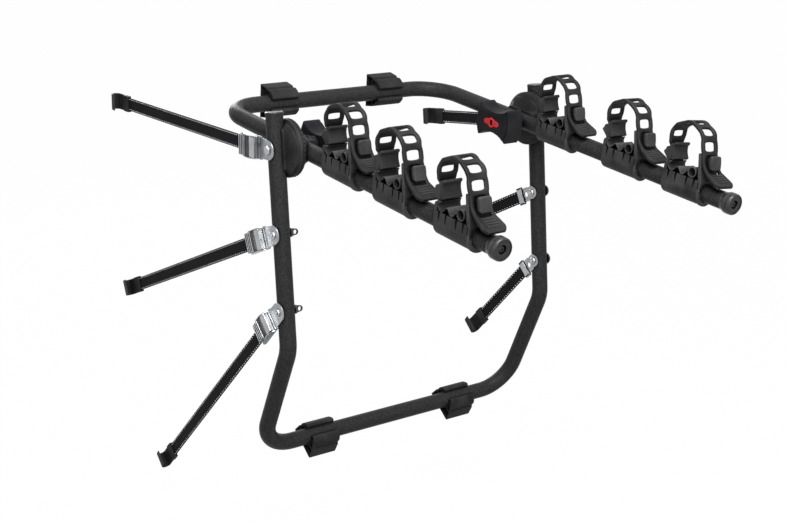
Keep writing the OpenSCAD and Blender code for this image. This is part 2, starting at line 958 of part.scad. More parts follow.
module after_left(r, a) {
  translate([r * sin(a), r * (1 - cos(a)), 0])
    rotate([0, 0, a])
      children();
}

// one window through a band whose run starts here
module band_window(at, len, t, w) {
  translate([at, -t, -w / 2])
    cube([len, 2 * t, w]);
}

// length of one step of the strap's path
function step_len(i) = ladder_path[i][1] == 0 ? ladder_path[i][0]
  : ladder_path[i][0] * abs(ladder_path[i][1]) * PI / 180;

// places children at the end of one step of the path, or at a share of it
module after_step(i, share) {
  size = ladder_path[i][0];
  turn = ladder_path[i][1] * share;
  if (turn == 0)
    translate([size * share, 0, 0])
      children();
  else if (turn < 0)
    after_right(size, -turn)
      children();
  else
    after_left(size, turn)
      children();
}

// the band from one step of the path to the tab
module ladder_from(i) {
  if (i < len(ladder_path)) {
    size = ladder_path[i][0];
    turn = ladder_path[i][1];
    if (turn == 0)
      band_run(size, ladder_t, ladder_w);
    else if (turn < 0)
      band_right(size, -turn, ladder_t, ladder_w);
    else
      band_left(size, turn, ladder_t, ladder_w);
    after_step(i, 1)
      ladder_from(i + 1);
  }
  else
    pull_tab();
}

// flared tab with four ridges
module pull_tab() {
  half = ladder_w / 2;
  translate([0, -ladder_t / 2, 0])
    rotate([-90, 0, 0])
      linear_extrude(height = ladder_t)
        polygon([[-lap, -half], [-lap, half], [tab_l * 0.7, half + 3], [tab_l, half - 2.5],
          [tab_l, 2.5 - half], [tab_l * 0.7, -half - 3]]);
  for (k = [0 : 3])
    translate([8 + k * 5.2, ladder_t / 2, 0])
      cylinder(r = 1.1, h = ladder_w - 13, center = true);
}

// places children at a length along the path, counted from one of its steps
module along_strap(at, i = 0) {
  if (at > step_len(i) && i < len(ladder_path) - 1)
    after_step(i, 1)
      along_strap(at - step_len(i), i + 1)
        children();
  else
    after_step(i, at / step_len(i))
      children();
}

// ladder strap: root barrel, rear leg, arch, front leg on the peg, pull tab
module ladder() {
  color(rubber)
    rotate([90, 0, -90])
      translate([leg_v, root_z, 0])
        rotate([0, 0, 90])
          difference() {
            union() {
              cylinder(r = barrel_r, h = root_w, center = true);
              cylinder(r = cam_pin_r, h = root_w + 9, center = true);
              band_run(root_run + 1.3, ladder_t, root_w);
              translate([root_run, 0, 0])
                ladder_from(0);
            }
            translate([root_run, 0, 0]) {
              along_strap(window_at[0] - root_run)
                band_window(-first_window_h / 2, first_window_h, 2 * ladder_t, window_w);
              for (k = [1 : len(window_at) - 1])
                along_strap(window_at[k] - root_run)
                  band_window(-window_h / 2, window_h, 2 * ladder_t, window_w);
              for (k = [0, 1])
                along_strap(slot_at[k] - root_run)
                  band_window(-slot_len / 2, slot_len, 2 * ladder_t, window_w - k);
            }
          }
}

module cradle_left_1() {
  on_arm(-1, left_at[0], 0)
    cradle();
}

module cradle_left_2() {
  on_arm(-1, left_at[1], 0)
    cradle();
}

module cradle_left_3() {
  on_arm(-1, left_at[2], 0)
    cradle();
}

module cradle_right_1() {
  on_arm(1, right_at[0], 0)
    cradle();
}

module cradle_right_2() {
  on_arm(1, right_at[1], right_2_roll)
    cradle();
}

module cradle_right_3() {
  on_arm(1, right_at[2], right_3_roll)
    cradle();
}

module cushions() {
  for (at = left_at)
    on_arm(-1, at, 0)
      cushion();
  for (k = [0 : 2])
    on_arm(1, right_at[k], right_roll[k])
      cushion();
}

module liners() {
  for (at = left_at)
    on_arm(-1, at, 0)
      liner();
  for (k = [0 : 2])
    on_arm(1, right_at[k], right_roll[k])
      liner();
}

module ladder_left_1() {
  on_arm(-1, left_at[0], 0)
    ladder();
}

module ladder_left_2() {
  on_arm(-1, left_at[1], 0)
    ladder();
}

module ladder_left_3() {
  on_arm(-1, left_at[2], 0)
    ladder();
}

module ladder_right_1() {
  on_arm(1, right_at[0], 0)
    ladder();
}

module ladder_right_2() {
  on_arm(1, right_at[1], right_2_roll)
    ladder();
}

module ladder_right_3() {
  on_arm(1, right_at[2], right_3_roll)
    ladder();
}

// frame of a strap: x along the strap to the vehicle, z to the left
module strap_frame(slope) {
  rotate([slope - 90, 0, 0])
    rotate([0, -90, 0])
      children();
}

// strap frames on the hub bolt and on the strap bolts
module at_left_top() {
  translate([x_left_eye, hub_y, hub_z])
    strap_frame(left_top_slope)
      children();
}

module at_left(down, slope) {
  on_upright(-1)
    translate([x_left_eye + xu, 0, -down])
      rotate([upright_lean, 0, 0])
        strap_frame(slope)
          children();
}

module at_right_top() {
  translate([x_top_eye, hub_y, hub_z])
    strap_frame(right_top_slope)
      children();
}

module at_right(down, slope) {
  on_upright(1)
    translate([x_right_eye - xu, 0, -down])
      rotate([upright_lean, 0, 0])
        strap_frame(slope)
          children();
}

// stamped frame of a cam buckle: eye, step, floor, two flanges, end bar
module buckle(hole) {
  half = buckle_w / 2;
  color(steel)
    difference() {
      union() {
        linear_extrude(height = sheet_t)
          difference() {
            union() {
              circle(r = eye_r);
              polygon([[0, eye_r], [24, half], [24, -half], [0, -eye_r]]);
            }
            circle(r = hole);
          }
        translate([23, -half, 0])
          cube([buckle_l - 23, buckle_w, sheet_t]);
        for (side = [-1, 1])
          translate([0, side * (half - sheet_t / 2), 0])
            rotate([90, 0, 0])
              linear_extrude(height = sheet_t, center = true)
                polygon([[27, 1], [30, 9], [41, 14], [cam_at + 8, 14], [70, 8], [buckle_l, 6],
                  [buckle_l, 1]]);
        translate([24, -half + 1, 1])
          cube([3, buckle_w - 2, 2.6]);
        translate([buckle_l - 3, -half + 1, 4.4])
          cube([3, buckle_w - 2, 1.6]);
      }
      translate([cam_at, 0, 9.5])
        rotate([90, 0, 0])
          cylinder(r = cam_pin_r + cam_clear, h = 2 * buckle_w, center = true);
      translate([38, -9, -1])
        cube([18, 18, 5]);
    }
}

// ridged cam lever with its pin
module lever() {
  wide = buckle_w - 2 * sheet_t - 0.8;
  color(steel)
    translate([cam_at, 0, 9.5])
      union() {
        rotate([90, 0, 0])
          cylinder(r = cam_pin_r, h = buckle_w - 0.4, center = true);
        rotate([90, 0, 0])
          cylinder(r = 5, h = wide, center = true);
        translate([-2, -wide / 2, 1.6])
          cube([25, wide, 2.6]);
        for (k = [0 : 3])
          translate([5 + k * 5, 0, 4.2])
            rotate([90, 0, 0])
              cylinder(r = 1.5, h = wide, center = true);
      }
}

// flat plate with an eye, a hole and a band that grips the webbing's end
module plate(hole) {
  far = plate_band + plate_band_l;
  color(steel)
    difference() {
      union() {
        linear_extrude(height = sheet_t)
          difference() {
            union() {
              circle(r = plate_eye_r);
              polygon([[0, plate_eye_r], [plate_band + 1, 14], [plate_band + 1, -14],
                [0, -plate_eye_r]]);
            }
            circle(r = hole);
            translate([15.5, 0])
              circle(r = 4.6);
          }
        translate([plate_band, -17, 0])
          cube([plate_band_l, 34, 2 * sheet_t + web_t + 0.2]);
      }
      translate([plate_band + 3, -web_w / 2 - 0.3, sheet_t])
        cube([far, web_w + 0.6, web_t + 0.2]);
    }
}

// webbing that lies on the plane z = sheet_t of its strap frame
module web(from, to) {
  color(rubber)
    translate([from, -web_w / 2, sheet_t + 0.1])
      cube([to - from, web_w, web_t]);
}

// coated flat hook with a pocket for the webbing's end
module hook(at) {
  wide = web_w + 6;
  thick = 3;
  color(black)
    translate([at, 0, sheet_t + 0.1 + web_t / 2])
      difference() {
        union() {
          translate([-14, -wide / 2, -4])
            cube([18, wide, 8]);
          rotate([90, 0, 0]) {
            translate([0, 0, 0])
              band_run(26, thick, wide);
            translate([26, 0, 0]) {
              band_left(8, 170, thick, wide);
              after_left(8, 170)
                band_run(11, thick, wide);
            }
          }
        }
        translate([-15, -web_w / 2 - 0.3, -web_t / 2 - 0.1])
          cube([13, web_w + 0.6, web_t + 0.2]);
      }
}

module buckle_top() {
  at_left_top()
    buckle(bolt_r + bolt_clear);
}

module buckle_mid() {
  at_left(bolt_mid, left_mid_slope)
    buckle(sbolt_r + bolt_clear);
}

module buckle_low() {
  at_left(bolt_low, left_low_slope)
    buckle(sbolt_r + bolt_clear);
}

module lever_top() {
  at_left_top()
    lever();
}

module lever_mid() {
  at_left(bolt_mid, left_mid_slope)
    lever();
}

module lever_low() {
  at_left(bolt_low, left_low_slope)
    lever();
}

module plate_top() {
  at_right_top()
    plate(bolt_r + bolt_clear);
}

module plate_mid() {
  at_right(bolt_mid, right_mid_slope)
    plate(sbolt_r + bolt_clear);
}

module plate_low() {
  at_right(bolt_low, right_low_slope)
    plate(sbolt_r + bolt_clear);
}

web_from = cam_at - 18;
plate_from = plate_band + 3.2;

module web_left_top() {
  at_left_top()
    web(web_from, left_top_end - 2.3);
}

module web_left_mid() {
  at_left(bolt_mid, left_mid_slope)
    web(web_from, left_mid_end - 2.3);
}

module web_left_low() {
  at_left(bolt_low, left_low_slope)
    web(web_from, left_low_end - 2.3);
}

module web_right_top() {
  at_right_top()
    web(plate_from, right_top_end - 2.3);
}

module web_right_mid() {
  at_right(bolt_mid, right_mid_slope)
    web(plate_from, right_mid_end - 2.3);
}

module web_right_low() {
  at_right(bolt_low, right_low_slope)
    web(plate_from, right_low_end - 2.3);
}

module hook_left_top() {
  at_left_top()
    hook(left_top_end);
}

module hook_left_mid() {
  at_left(bolt_mid, left_mid_slope)
    hook(left_mid_end);
}

module hook_left_low() {
  at_left(bolt_low, left_low_slope)
    hook(left_low_end);
}

module hook_right_top() {
  at_right_top()
    hook(right_top_end);
}

module hook_right_mid() {
  at_right(bolt_mid, right_mid_slope)
    hook(right_mid_end);
}

module hook_right_low() {
  at_right(bolt_low, right_low_slope)
    hook(right_low_end);
}

lower_frame();
upright_caps();
lower_pad_left();
lower_pad_right();
hub_plate_left();
hub_plate_right();
hub_bolts();
strap_bolts();
eye_nuts();
dome_nuts();
carrier_frame();
upper_pad_left();
upper_pad_right();
arm_plate_left();
arm_plate_right();
saddle_washers();
arm_caps();
cap_screws();
knob_left();
knob_right();
insert_left();
insert_right();
cradle_left_1();
cradle_left_2();
cradle_left_3();
cradle_right_1();
cradle_right_2();
cradle_right_3();
cushions();
liners();
ladder_left_1();
ladder_left_2();
ladder_left_3();
ladder_right_1();
ladder_right_2();
ladder_right_3();
buckle_top();
buckle_mid();
buckle_low();
lever_top();
lever_mid();
lever_low();
plate_top();
plate_mid();
plate_low();
web_left_top();
web_left_mid();
web_left_low();
web_right_top();
web_right_mid();
web_right_low();
hook_left_top();
hook_left_mid();
hook_left_low();
hook_right_top();
hook_right_mid();
hook_right_low();
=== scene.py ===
from math import acos, asin, atan2, cos, degrees, pi, radians, sin, tan

import bmesh
import bpy
from mathutils import Matrix, Vector


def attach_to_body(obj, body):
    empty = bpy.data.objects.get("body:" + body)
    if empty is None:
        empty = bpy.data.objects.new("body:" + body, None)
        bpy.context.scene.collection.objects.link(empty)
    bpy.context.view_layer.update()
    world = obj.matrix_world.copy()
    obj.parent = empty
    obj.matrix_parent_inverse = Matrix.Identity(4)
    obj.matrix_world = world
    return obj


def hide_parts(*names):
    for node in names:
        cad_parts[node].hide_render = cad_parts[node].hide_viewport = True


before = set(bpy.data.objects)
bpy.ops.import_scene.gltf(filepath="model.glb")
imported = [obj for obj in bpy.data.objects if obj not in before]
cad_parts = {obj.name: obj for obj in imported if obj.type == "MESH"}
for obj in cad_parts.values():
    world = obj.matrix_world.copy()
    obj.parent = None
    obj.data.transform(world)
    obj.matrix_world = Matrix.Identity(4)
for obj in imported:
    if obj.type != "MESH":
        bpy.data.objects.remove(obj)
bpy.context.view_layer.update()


# Camera and studio: a long lens from the front left, a little above the arms.
# The floor is a pale sheet well under the rack, and the light is large and soft.
scene = bpy.context.scene
scene.view_settings.view_transform = "Standard"


def new_object(name, data):
    made = bpy.data.objects.new(name, data)
    scene.collection.objects.link(made)
    return made


def new_mesh(name, points, edges, faces):
    mesh = bpy.data.meshes.new(name)
    mesh.from_pydata(points, edges, faces)
    return mesh


camera_data = bpy.data.cameras.new("camera")
camera_data.lens = 63.67
camera_data.sensor_width = 36
camera_data.clip_end = 60
camera = new_object("camera", camera_data)
camera.location = (-1.5044, -2.0316, 0.9715)
camera.rotation_euler = (radians(75.21), 0, radians(-36.67))
scene.camera = camera

floor_z, floor_half = -0.2, 14
floor_corners = [(x * floor_half, y * floor_half, floor_z) for x, y in ((-1, -1), (1, -1), (1, 1), (-1, 1))]
floor_mesh = new_mesh("floor", floor_corners, [], [(0, 1, 2, 3)])
floor = new_object("floor", floor_mesh)


def set_inputs(tree, node, inputs):
    """Give each input a plain value, or link it to another node's output."""
    for socket, value in inputs.items():
        if isinstance(value, bpy.types.NodeSocket):
            tree.links.new(value, node.inputs[socket])
        else:
            node.inputs[socket].default_value = value


def add_node(tree, kind, inputs=None, **settings):
    """New node, its settings made first because they decide which inputs it has."""
    node = tree.nodes.new(kind)
    for name, value in settings.items():
        setattr(node, name, value)
    set_inputs(tree, node, inputs or {})
    return node


def math_node(tree, operation, *values, **settings):
    """Output of a Math node on plain values or other nodes' outputs."""
    node = add_node(tree, "ShaderNodeMath", dict(enumerate(values)), operation=operation, **settings)
    return node.outputs[0]


def seen_directly(tree):
    """One for rays from the camera, a mirror or clear stuff, else zero."""
    path = tree.nodes.new("ShaderNodeLightPath").outputs
    near = math_node(tree, "MAXIMUM", path["Is Camera Ray"], path["Is Glossy Ray"])
    return math_node(tree, "MAXIMUM", near, path["Is Transmission Ray"])


def blend(tree, ending, share, first, second):
    """Close a tree with two shaders, the second for a share of the rays."""
    mixed = add_node(tree, "ShaderNodeMixShader", {0: share, 1: first.outputs[0], 2: second.outputs[0]})
    add_node(tree, ending, {"Surface": mixed.outputs[0]})


white = (1, 1, 1, 1)
floor_grey = (0.55, 0.55, 0.55, 1)
floor_paint = bpy.data.materials.new("pale_floor")
floor_paint.use_nodes = True
tree = floor_paint.node_tree
tree.nodes.clear()
matte = add_node(tree, "ShaderNodeBsdfDiffuse", {"Color": floor_grey})
bright = add_node(tree, "ShaderNodeEmission", {"Color": white})
blend(tree, "ShaderNodeOutputMaterial", math_node(tree, "MULTIPLY", seen_directly(tree), 0.99), matte, bright)
floor_mesh.materials.append(floor_paint)

scene.world = bpy.data.worlds.new("studio")
scene.world.use_nodes = True
tree = scene.world.node_tree
tree.nodes.clear()
room = add_node(tree, "ShaderNodeBackground", {"Color": white, "Strength": 0.12})
backdrop = add_node(tree, "ShaderNodeBackground", {"Color": white})
blend(tree, "ShaderNodeOutputWorld", seen_directly(tree), room, backdrop)


def soft_box(name, place, aim, size, watts):
    data = bpy.data.lights.new(name, "AREA")
    data.shape = "RECTANGLE"
    data.size, data.size_y = size
    data.energy = watts
    lamp = new_object(name, data)
    lamp.location = place
    lamp.rotation_euler = (Vector(aim) - Vector(place)).to_track_quat("-Z", "Y").to_euler()


soft_box("top_box", (-0.5, -1.3, 2.6), (0, -0.2, 0.4), (2.0, 1.4), 135)
soft_box("left_box", (-2.9, -1.2, 1.5), (0, -0.1, 0.35), (0.5, 1.9), 16)
soft_box("front_box", (-1.5, -2.7, 1.6), (0.1, -0.1, 0.3), (0.5, 1.5), 58)
soft_box("back_box", (0.9, 3.0, 1.5), (0, 0.1, 0.35), (0.9, 1.6), 36)


# Surface effects used by several finishes: fine grain with clouds and specks, edges lighter
# from rubbed wear and a painted highlight, and painted shade in hollows, each built once as a group and
# placed in a finish.
def node_group(name, inputs, outputs, kind="ShaderNodeTree"):
    """Node group and what comes in: numbers with usual values, and geometry first in a geometry tree."""
    group = bpy.data.node_groups.new(name, kind)
    if kind == "GeometryNodeTree":
        group.interface.new_socket("Geometry", in_out="INPUT", socket_type="NodeSocketGeometry")
    for label, usual in inputs.items():
        socket = group.interface.new_socket(label, in_out="INPUT", socket_type="NodeSocketFloat")
        socket.default_value = usual
    for label in outputs:
        output = "NodeSocketGeometry" if label == "Geometry" else "NodeSocketFloat"
        group.interface.new_socket(label, in_out="OUTPUT", socket_type=output)
    return group, group.nodes.new("NodeGroupInput").outputs


def ranged(tree, value, before, after=(0, 1)):
    """Output of a value carried from one range to another."""
    ends = dict(zip(("From Min", "From Max", "To Min", "To Max"), (*before, *after)))
    return add_node(tree, "ShaderNodeMapRange", {"Value": value, **ends}).outputs["Result"]


def mixed_colour(tree, factor, first, second):
    """Output of a Mix node between two colours."""
    sockets = {"Factor": factor, "A": first, "B": second}
    return add_node(tree, "ShaderNodeMix", sockets, data_type="RGBA").outputs["Result"]


def effect(tree, group, inputs=None):
    """Outputs of an effect placed in a material."""
    return add_node(tree, "ShaderNodeGroup", inputs, node_tree=group).outputs


def relief(tree, height, strength):
    """Output of a Bump node with a shallow relief."""
    sockets = {"Height": height, "Strength": strength, "Distance": relief_depth}
    return add_node(tree, "ShaderNodeBump", sockets).outputs["Normal"]


relief_depth, cloud_share, painted_shade_share = 0.0004, 0.55, 0.2
grain_group, given = node_group("fine_grain", {"Scale": 900, "Cloud Scale": 14}, ["Grain", "Cloud", "Speck"])
spots = grain_group.nodes.new("ShaderNodeTexCoord").outputs["Object"]
fine = add_node(grain_group, "ShaderNodeTexNoise", {"Vector": spots, "Scale": given["Scale"], "Detail": 3})
cloud = add_node(grain_group, "ShaderNodeTexNoise", {
    "Vector": spots, "Scale": given["Cloud Scale"], "Detail": 4, "Roughness": 0.6})
cells = add_node(grain_group, "ShaderNodeTexVoronoi", {"Vector": spots, "Scale": given["Scale"]})
add_node(grain_group, "NodeGroupOutput", {
    "Grain": fine.outputs["Fac"], "Cloud": cloud.outputs["Fac"],
    "Speck": ranged(grain_group, cells.outputs["Distance"], (0.12, 0.3), (1, 0))})

# Edge lightening by pointiness: partly rubbed wear, partly a painted highlight on lit edges and rims.
edge_wear_highlight_group, given = node_group("edge_wear_and_highlight", {"Start": 0.51, "End": 0.58}, ["Edge"])
form = edge_wear_highlight_group.nodes.new("ShaderNodeNewGeometry")
wear_and_highlight = ranged(edge_wear_highlight_group, form.outputs["Pointiness"], (given["Start"], given["End"]))
add_node(edge_wear_highlight_group, "NodeGroupOutput", {"Edge": wear_and_highlight})

# Painted shade: ambient occlusion darkens the colour in hollows, creases and close to other parts, where
# shade falls.
hollow_group, given = node_group("hollow_shade", {"Reach": 0.012}, ["Open"])
shade = add_node(hollow_group, "ShaderNodeAmbientOcclusion", {"Distance": given["Reach"]}, samples=8)
add_node(hollow_group, "NodeGroupOutput", {"Open": ranged(hollow_group, shade.outputs["AO"], (0.25, 0.9))})


def finish(name, dark, light, rough, grain, cloud, bump, speck=0.0, edge=0.0, metal=0.0, spec=0.04,
           reach=0.012):
    """A finish whose colour runs from dark to light with cloud, specks, edges lightened by rubbed wear and a
    painted highlight, and painted shade in hollows.
    """
    material = bpy.data.materials.new(name)
    material.use_nodes = True
    tree = material.node_tree
    skin = effect(tree, grain_group, {"Scale": grain, "Cloud Scale": cloud})
    edge_wear_and_light = effect(tree, edge_wear_highlight_group)
    hollow = effect(tree, hollow_group, {"Reach": reach})
    clouds = ranged(tree, skin["Cloud"], (0.3, 0.7), (0, cloud_share))
    specks = math_node(tree, "MULTIPLY_ADD", skin["Speck"], speck, clouds)
    # edges: painted highlight and wear on sharp edges, added to the specks and clouds
    edges = math_node(tree, "MULTIPLY_ADD", edge_wear_and_light["Edge"], edge, specks, use_clamp=True)
    colour = mixed_colour(tree, edges, (*dark, 1), (*light, 1))
    # painted shade colour for the hollows, a share of the dark tone
    painted_shade_colour = (*[painted_shade_share * c for c in dark], 1)
    set_inputs(tree, tree.nodes["Principled BSDF"], {
        "Base Color": mixed_colour(tree, hollow["Open"], painted_shade_colour, colour),
        "Roughness": ranged(tree, skin["Cloud"], (0.25, 0.75), rough),
        "Normal": relief(tree, skin["Grain"], bump), "Metallic": metal, "Specular IOR Level": spec})
    return material


# The six webbing straps: 25 mm black nylon webbing, woven across, with white
# dashed stitching along both edges. They run taut from a buckle or a plate to
# a hook on the vehicle's edge.
mm = 0.001
tube_r, upright_x, arm_x, washer_face = 15.0, 291.5, 247.0, 21.0
leg_len, leg_angle, upright_len, upright_lean = 235.5, 25.3, 348.4, 4.2
hub_y = round(upright_len * sin(radians(upright_lean)) - leg_len * sin(radians(leg_angle)), 2)
hub_z = round(upright_len * cos(radians(upright_lean)) + leg_len * cos(radians(leg_angle)), 2)
strap_width, strap_thick, sheet_t, thin_gap = 25.0, 1.5, 2.0, 0.1
strap_lie = sheet_t + thin_gap + strap_thick / 2
bolt_down = {"top": 0.0, "mid": 143.5, "low": 277.5}
left_eye_x = -upright_x - tube_r - thin_gap
right_eye_x = upright_x - tube_r - thin_gap
# eye across the rack, slope in degrees, and both ends along the strap from its bolt
strap_eyes = {
    "left_top": (left_eye_x, 2.0, 32.0, 520.0),
    "left_mid": (left_eye_x, -21.4, 32.0, 556.0),
    "left_low": (left_eye_x, -43.5, 32.0, 570.0),
    "right_top": (arm_x - washer_face - thin_gap, -4.8, 26.2, 212.0),
    "right_mid": (right_eye_x, -25.0, 26.2, 180.0),
    "right_low": (right_eye_x, -45.0, 26.2, 214.0),
}


def shift(x=0.0, y=0.0, z=0.0):
    return Matrix.Translation((x, y, z))


def turn(axis, angle):
    """Rotation about X, Y or Z, in degrees."""
    return Matrix.Rotation(radians(angle), 4, axis)


def strap_place(key):
    """Frame of a strap: x along it to the vehicle, y across it, z to the left."""
    eye_x, slope = strap_eyes[key][:2]
    down, lean = bolt_down[key.split("_")[1]], radians(upright_lean)
    return (shift(eye_x, hub_y - down * sin(lean), hub_z - down * cos(lean))
            @ turn("X", slope - 90) @ turn("Y", -90))


def strap_body(key):
    side, level = key.split("_")
    return ("buckle_" if side == "left" else "plate_") + level + "_body"


def baked(source):
    """Plain mesh of an object with its modifiers applied. The object itself is removed."""
    bpy.context.view_layer.update()
    ready = source.evaluated_get(bpy.context.evaluated_depsgraph_get())
    mesh = bpy.data.meshes.new_from_object(ready)
    bpy.data.objects.remove(source)
    return mesh


def outward(mesh, merge=0.0):
    """Turn all faces outwards, after points closer than merge are joined."""
    shape = bmesh.new()
    shape.from_mesh(mesh)
    if merge:
        bmesh.ops.remove_doubles(shape, verts=shape.verts, dist=merge)
    bmesh.ops.recalc_face_normals(shape, faces=shape.faces)
    shape.to_mesh(mesh)
    shape.free()


def smooth(mesh, sharp):
    """Smooth shading, with edges steeper than sharp degrees left crisp."""
    mesh.shade_smooth()
    mesh.set_sharp_from_angle(angle=radians(sharp))


def skin_faces(rings, n):
    """Faces over rings of n points each, with both ends closed."""
    faces = []
    for start in range(0, (rings - 1) * n, n):
        for k in range(n):
            a, b = start + k, start + (k + 1) % n
            faces.append((a, b, b + n, a + n))
    return faces + [tuple(range(n)), tuple(reversed(range((rings - 1) * n, rings * n)))]


def attach(piece, body, nodes):
    """Ride a piece on a body, in place of CAD nodes."""
    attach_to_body(piece, body)
    if nodes:
        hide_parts(*nodes)


webbing = bpy.data.materials.new("woven_webbing")
webbing.use_nodes = True
tree = webbing.node_tree
uv = add_node(tree, "ShaderNodeUVMap", uv_map="along").outputs["UV"]
waves = [add_node(tree, "ShaderNodeTexWave", {"Vector": uv, "Scale": scale, "Distortion": uneven},
                  wave_type="BANDS", bands_direction=way).outputs["Fac"]
         for way, scale, uneven in (("X", 0.16, 0.6), ("Y", 0.21, 0.4))]
weave = math_node(tree, "MULTIPLY", *waves)
fuzz = effect(tree, grain_group, {"Scale": 1600, "Cloud Scale": 22})
tint = math_node(tree, "MULTIPLY", weave, fuzz["Cloud"])
set_inputs(tree, tree.nodes["Principled BSDF"], {
    "Base Color": mixed_colour(tree, tint, (0.004, 0.004, 0.005, 1), (0.022, 0.022, 0.024, 1)),
    "Roughness": ranged(tree, fuzz["Grain"], (0, 1), (0.6, 0.85)),
    "Normal": relief(tree, weave, 0.6), "Specular IOR Level": 0.06})
thread = finish("white_thread", (0.7, 0.7, 0.69), (0.9, 0.9, 0.88), (0.6, 0.8), 2600, 60, 0.25)


def webbing_mesh(place, start, end):
    """Flat band with soft edges, its UV in millimetres along and across."""
    half, deep = strap_width / 2, strap_thick / 2
    face = [(-half, -0.25), (-half, 0.25)]
    face += [(w, deep) for w in (0.5 - half, 1.6 - half, -half / 2, 0, half / 2, half - 1.6, half - 0.5)]
    ring = face + [(-w, -h) for w, h in face]
    rows = int((end - start) / 4) + 1
    verts, along = [], []
    for r in range(rows + 1):
        u = start + (end - start) * r / rows
        verts += [place @ Vector((u, w, h + strap_lie)) * mm for w, h in ring]
        along += [(u, w) for w, h in ring]
    mesh = new_mesh("webbing", verts, [], skin_faces(rows + 1, len(ring)))
    layer = mesh.uv_layers.new(name="along")
    for loop in mesh.loops:
        layer.data[loop.index].uv = along[loop.vertex_index]
    outward(mesh)
    smooth(mesh, 40)
    return mesh


def end_tree(tree, geometry, material):
    """Close a tree: real geometry in one material."""
    real = add_node(tree, "GeometryNodeRealizeInstances", {"Geometry": geometry})
    paint = add_node(tree, "GeometryNodeSetMaterial", {"Geometry": real.outputs[0], "Material": material})
    add_node(tree, "NodeGroupOutput", {"Geometry": paint.outputs[0]})


def grown(points, edges, tree, sizes):
    """Mesh that a tree grows along edges, all in metres."""
    lines = new_object("lines", new_mesh("lines", points, edges, []))
    maker = lines.modifiers.new("grow", "NODES")
    maker.node_group = tree
    for label, size in sizes.items():
        maker[tree.interface.items_tree[label].identifier] = size
    return baked(lines)


stitch_sizes = {"Pitch": 0.0075, "Stitch Length": 0.0042, "Thread Radius": 0.0006}
stitch_tree, given = node_group("stitch_row", stitch_sizes, ["Geometry"], "GeometryNodeTree")
line = add_node(stitch_tree, "GeometryNodeMeshToCurve", {"Mesh": given["Geometry"]})
dots = add_node(stitch_tree, "GeometryNodeCurveToPoints",
                {"Curve": line.outputs["Curve"], "Length": given["Pitch"]}, mode="LENGTH")
stick = add_node(stitch_tree, "GeometryNodeMeshUVSphere", {"Segments": 6, "Rings": 5, "Radius": 1})
stretch = add_node(stitch_tree, "ShaderNodeCombineXYZ", {
    "X": given["Thread Radius"], "Y": given["Thread Radius"],
    "Z": math_node(stitch_tree, "MULTIPLY", given["Stitch Length"], 0.5)})
stitches = add_node(stitch_tree, "GeometryNodeInstanceOnPoints", {
    "Points": dots.outputs["Points"], "Rotation": dots.outputs["Rotation"],
    "Instance": stick.outputs["Mesh"], "Scale": stretch.outputs[0]})
end_tree(stitch_tree, stitches.outputs["Instances"], thread)

hook_gap = 2.3
stitch_inset, stitch_proud = 2.6, 0.02
hidden_start, hidden_end = {"left": 44, "right": 12}, 14
straps = {}
for key, (eye_x, slope, start, end) in strap_eyes.items():
    place, far = strap_place(key), end - hook_gap
    strap = new_object("strap_" + key, webbing_mesh(place, start, far))
    strap.data.materials.append(webbing)
    attach(strap, strap_body(key), ["web_" + key])
    straps[key] = (strap, place, start, far)
    # rows of thread along both edges of both faces
    points = []
    for face in (-1, 1):
        for edge in (-1, 1):
            across = edge * (strap_width / 2 - stitch_inset)
            high = strap_lie + face * (strap_thick / 2 + stitch_proud)
            for u in (start + hidden_start[key.split("_")[0]], far - hidden_end):
                points.append(place @ Vector((u, across, high)) * mm)
    edges = [(k, k + 1) for k in range(0, len(points), 2)]
    seam = new_object("stitching_" + key, grown(points, edges, stitch_tree, stitch_sizes))
    seam.data.shade_smooth()
    attach(seam, strap_body(key), [])


# The strap hooks: flat steel strip bent over to take a panel's edge, dipped in
# black plastic, with a flat pocket that the webbing is sewn into.
def arc(centre, radius, start, swing, steps):
    """Points along an arc, angles in degrees."""
    angles = [radians(start + swing * k / steps) for k in range(steps + 1)]
    return [(centre[0] + radius * cos(a), centre[1] + radius * sin(a)) for a in angles]


def soft_ring(width, thick, edge, steps=3):
    """Rounded rectangle around the middle, across and through."""
    ring = []
    for sx, sy, a in ((1, 1, 0), (-1, 1, 90), (-1, -1, 180), (1, -1, 270)):
        ring += arc((sx * (width / 2 - edge), sy * (thick / 2 - edge)), edge, a, 90, steps)
    return ring


def swept(path, ring):
    """Ring (across, through) carried along a path in the plane of x and z."""
    verts = []
    for k, (a, b) in enumerate(path):
        before, after = path[max(k - 1, 0)], path[min(k + 1, len(path) - 1)]
        heading = atan2(after[1] - before[1], after[0] - before[0])
        verts += [Vector((a - sin(heading) * through, across, b + cos(heading) * through))
                  for across, through in ring]
    return verts, skin_faces(len(path), len(ring))


def shape_of(mesh, place=Matrix()):
    """Points and faces of a mesh that isn't needed any more."""
    made = ([place @ v.co for v in mesh.vertices], [tuple(f.vertices) for f in mesh.polygons])
    bpy.data.meshes.remove(mesh)
    return made


def block(size, centre, edge):
    """Box with rounded edges."""
    shape = bmesh.new()
    bmesh.ops.create_cube(shape, size=1, matrix=Matrix.Diagonal((*size, 1)))
    bmesh.ops.bevel(shape, geom=shape.edges[:], offset=edge, segments=2, profile=0.6,
                    affect="EDGES", clamp_overlap=True)
    mesh = bpy.data.meshes.new("block")
    shape.to_mesh(mesh)
    shape.free()
    return shape_of(mesh, shift(*centre))


def moved(shape, place):
    return [place @ v for v in shape[0]], shape[1]


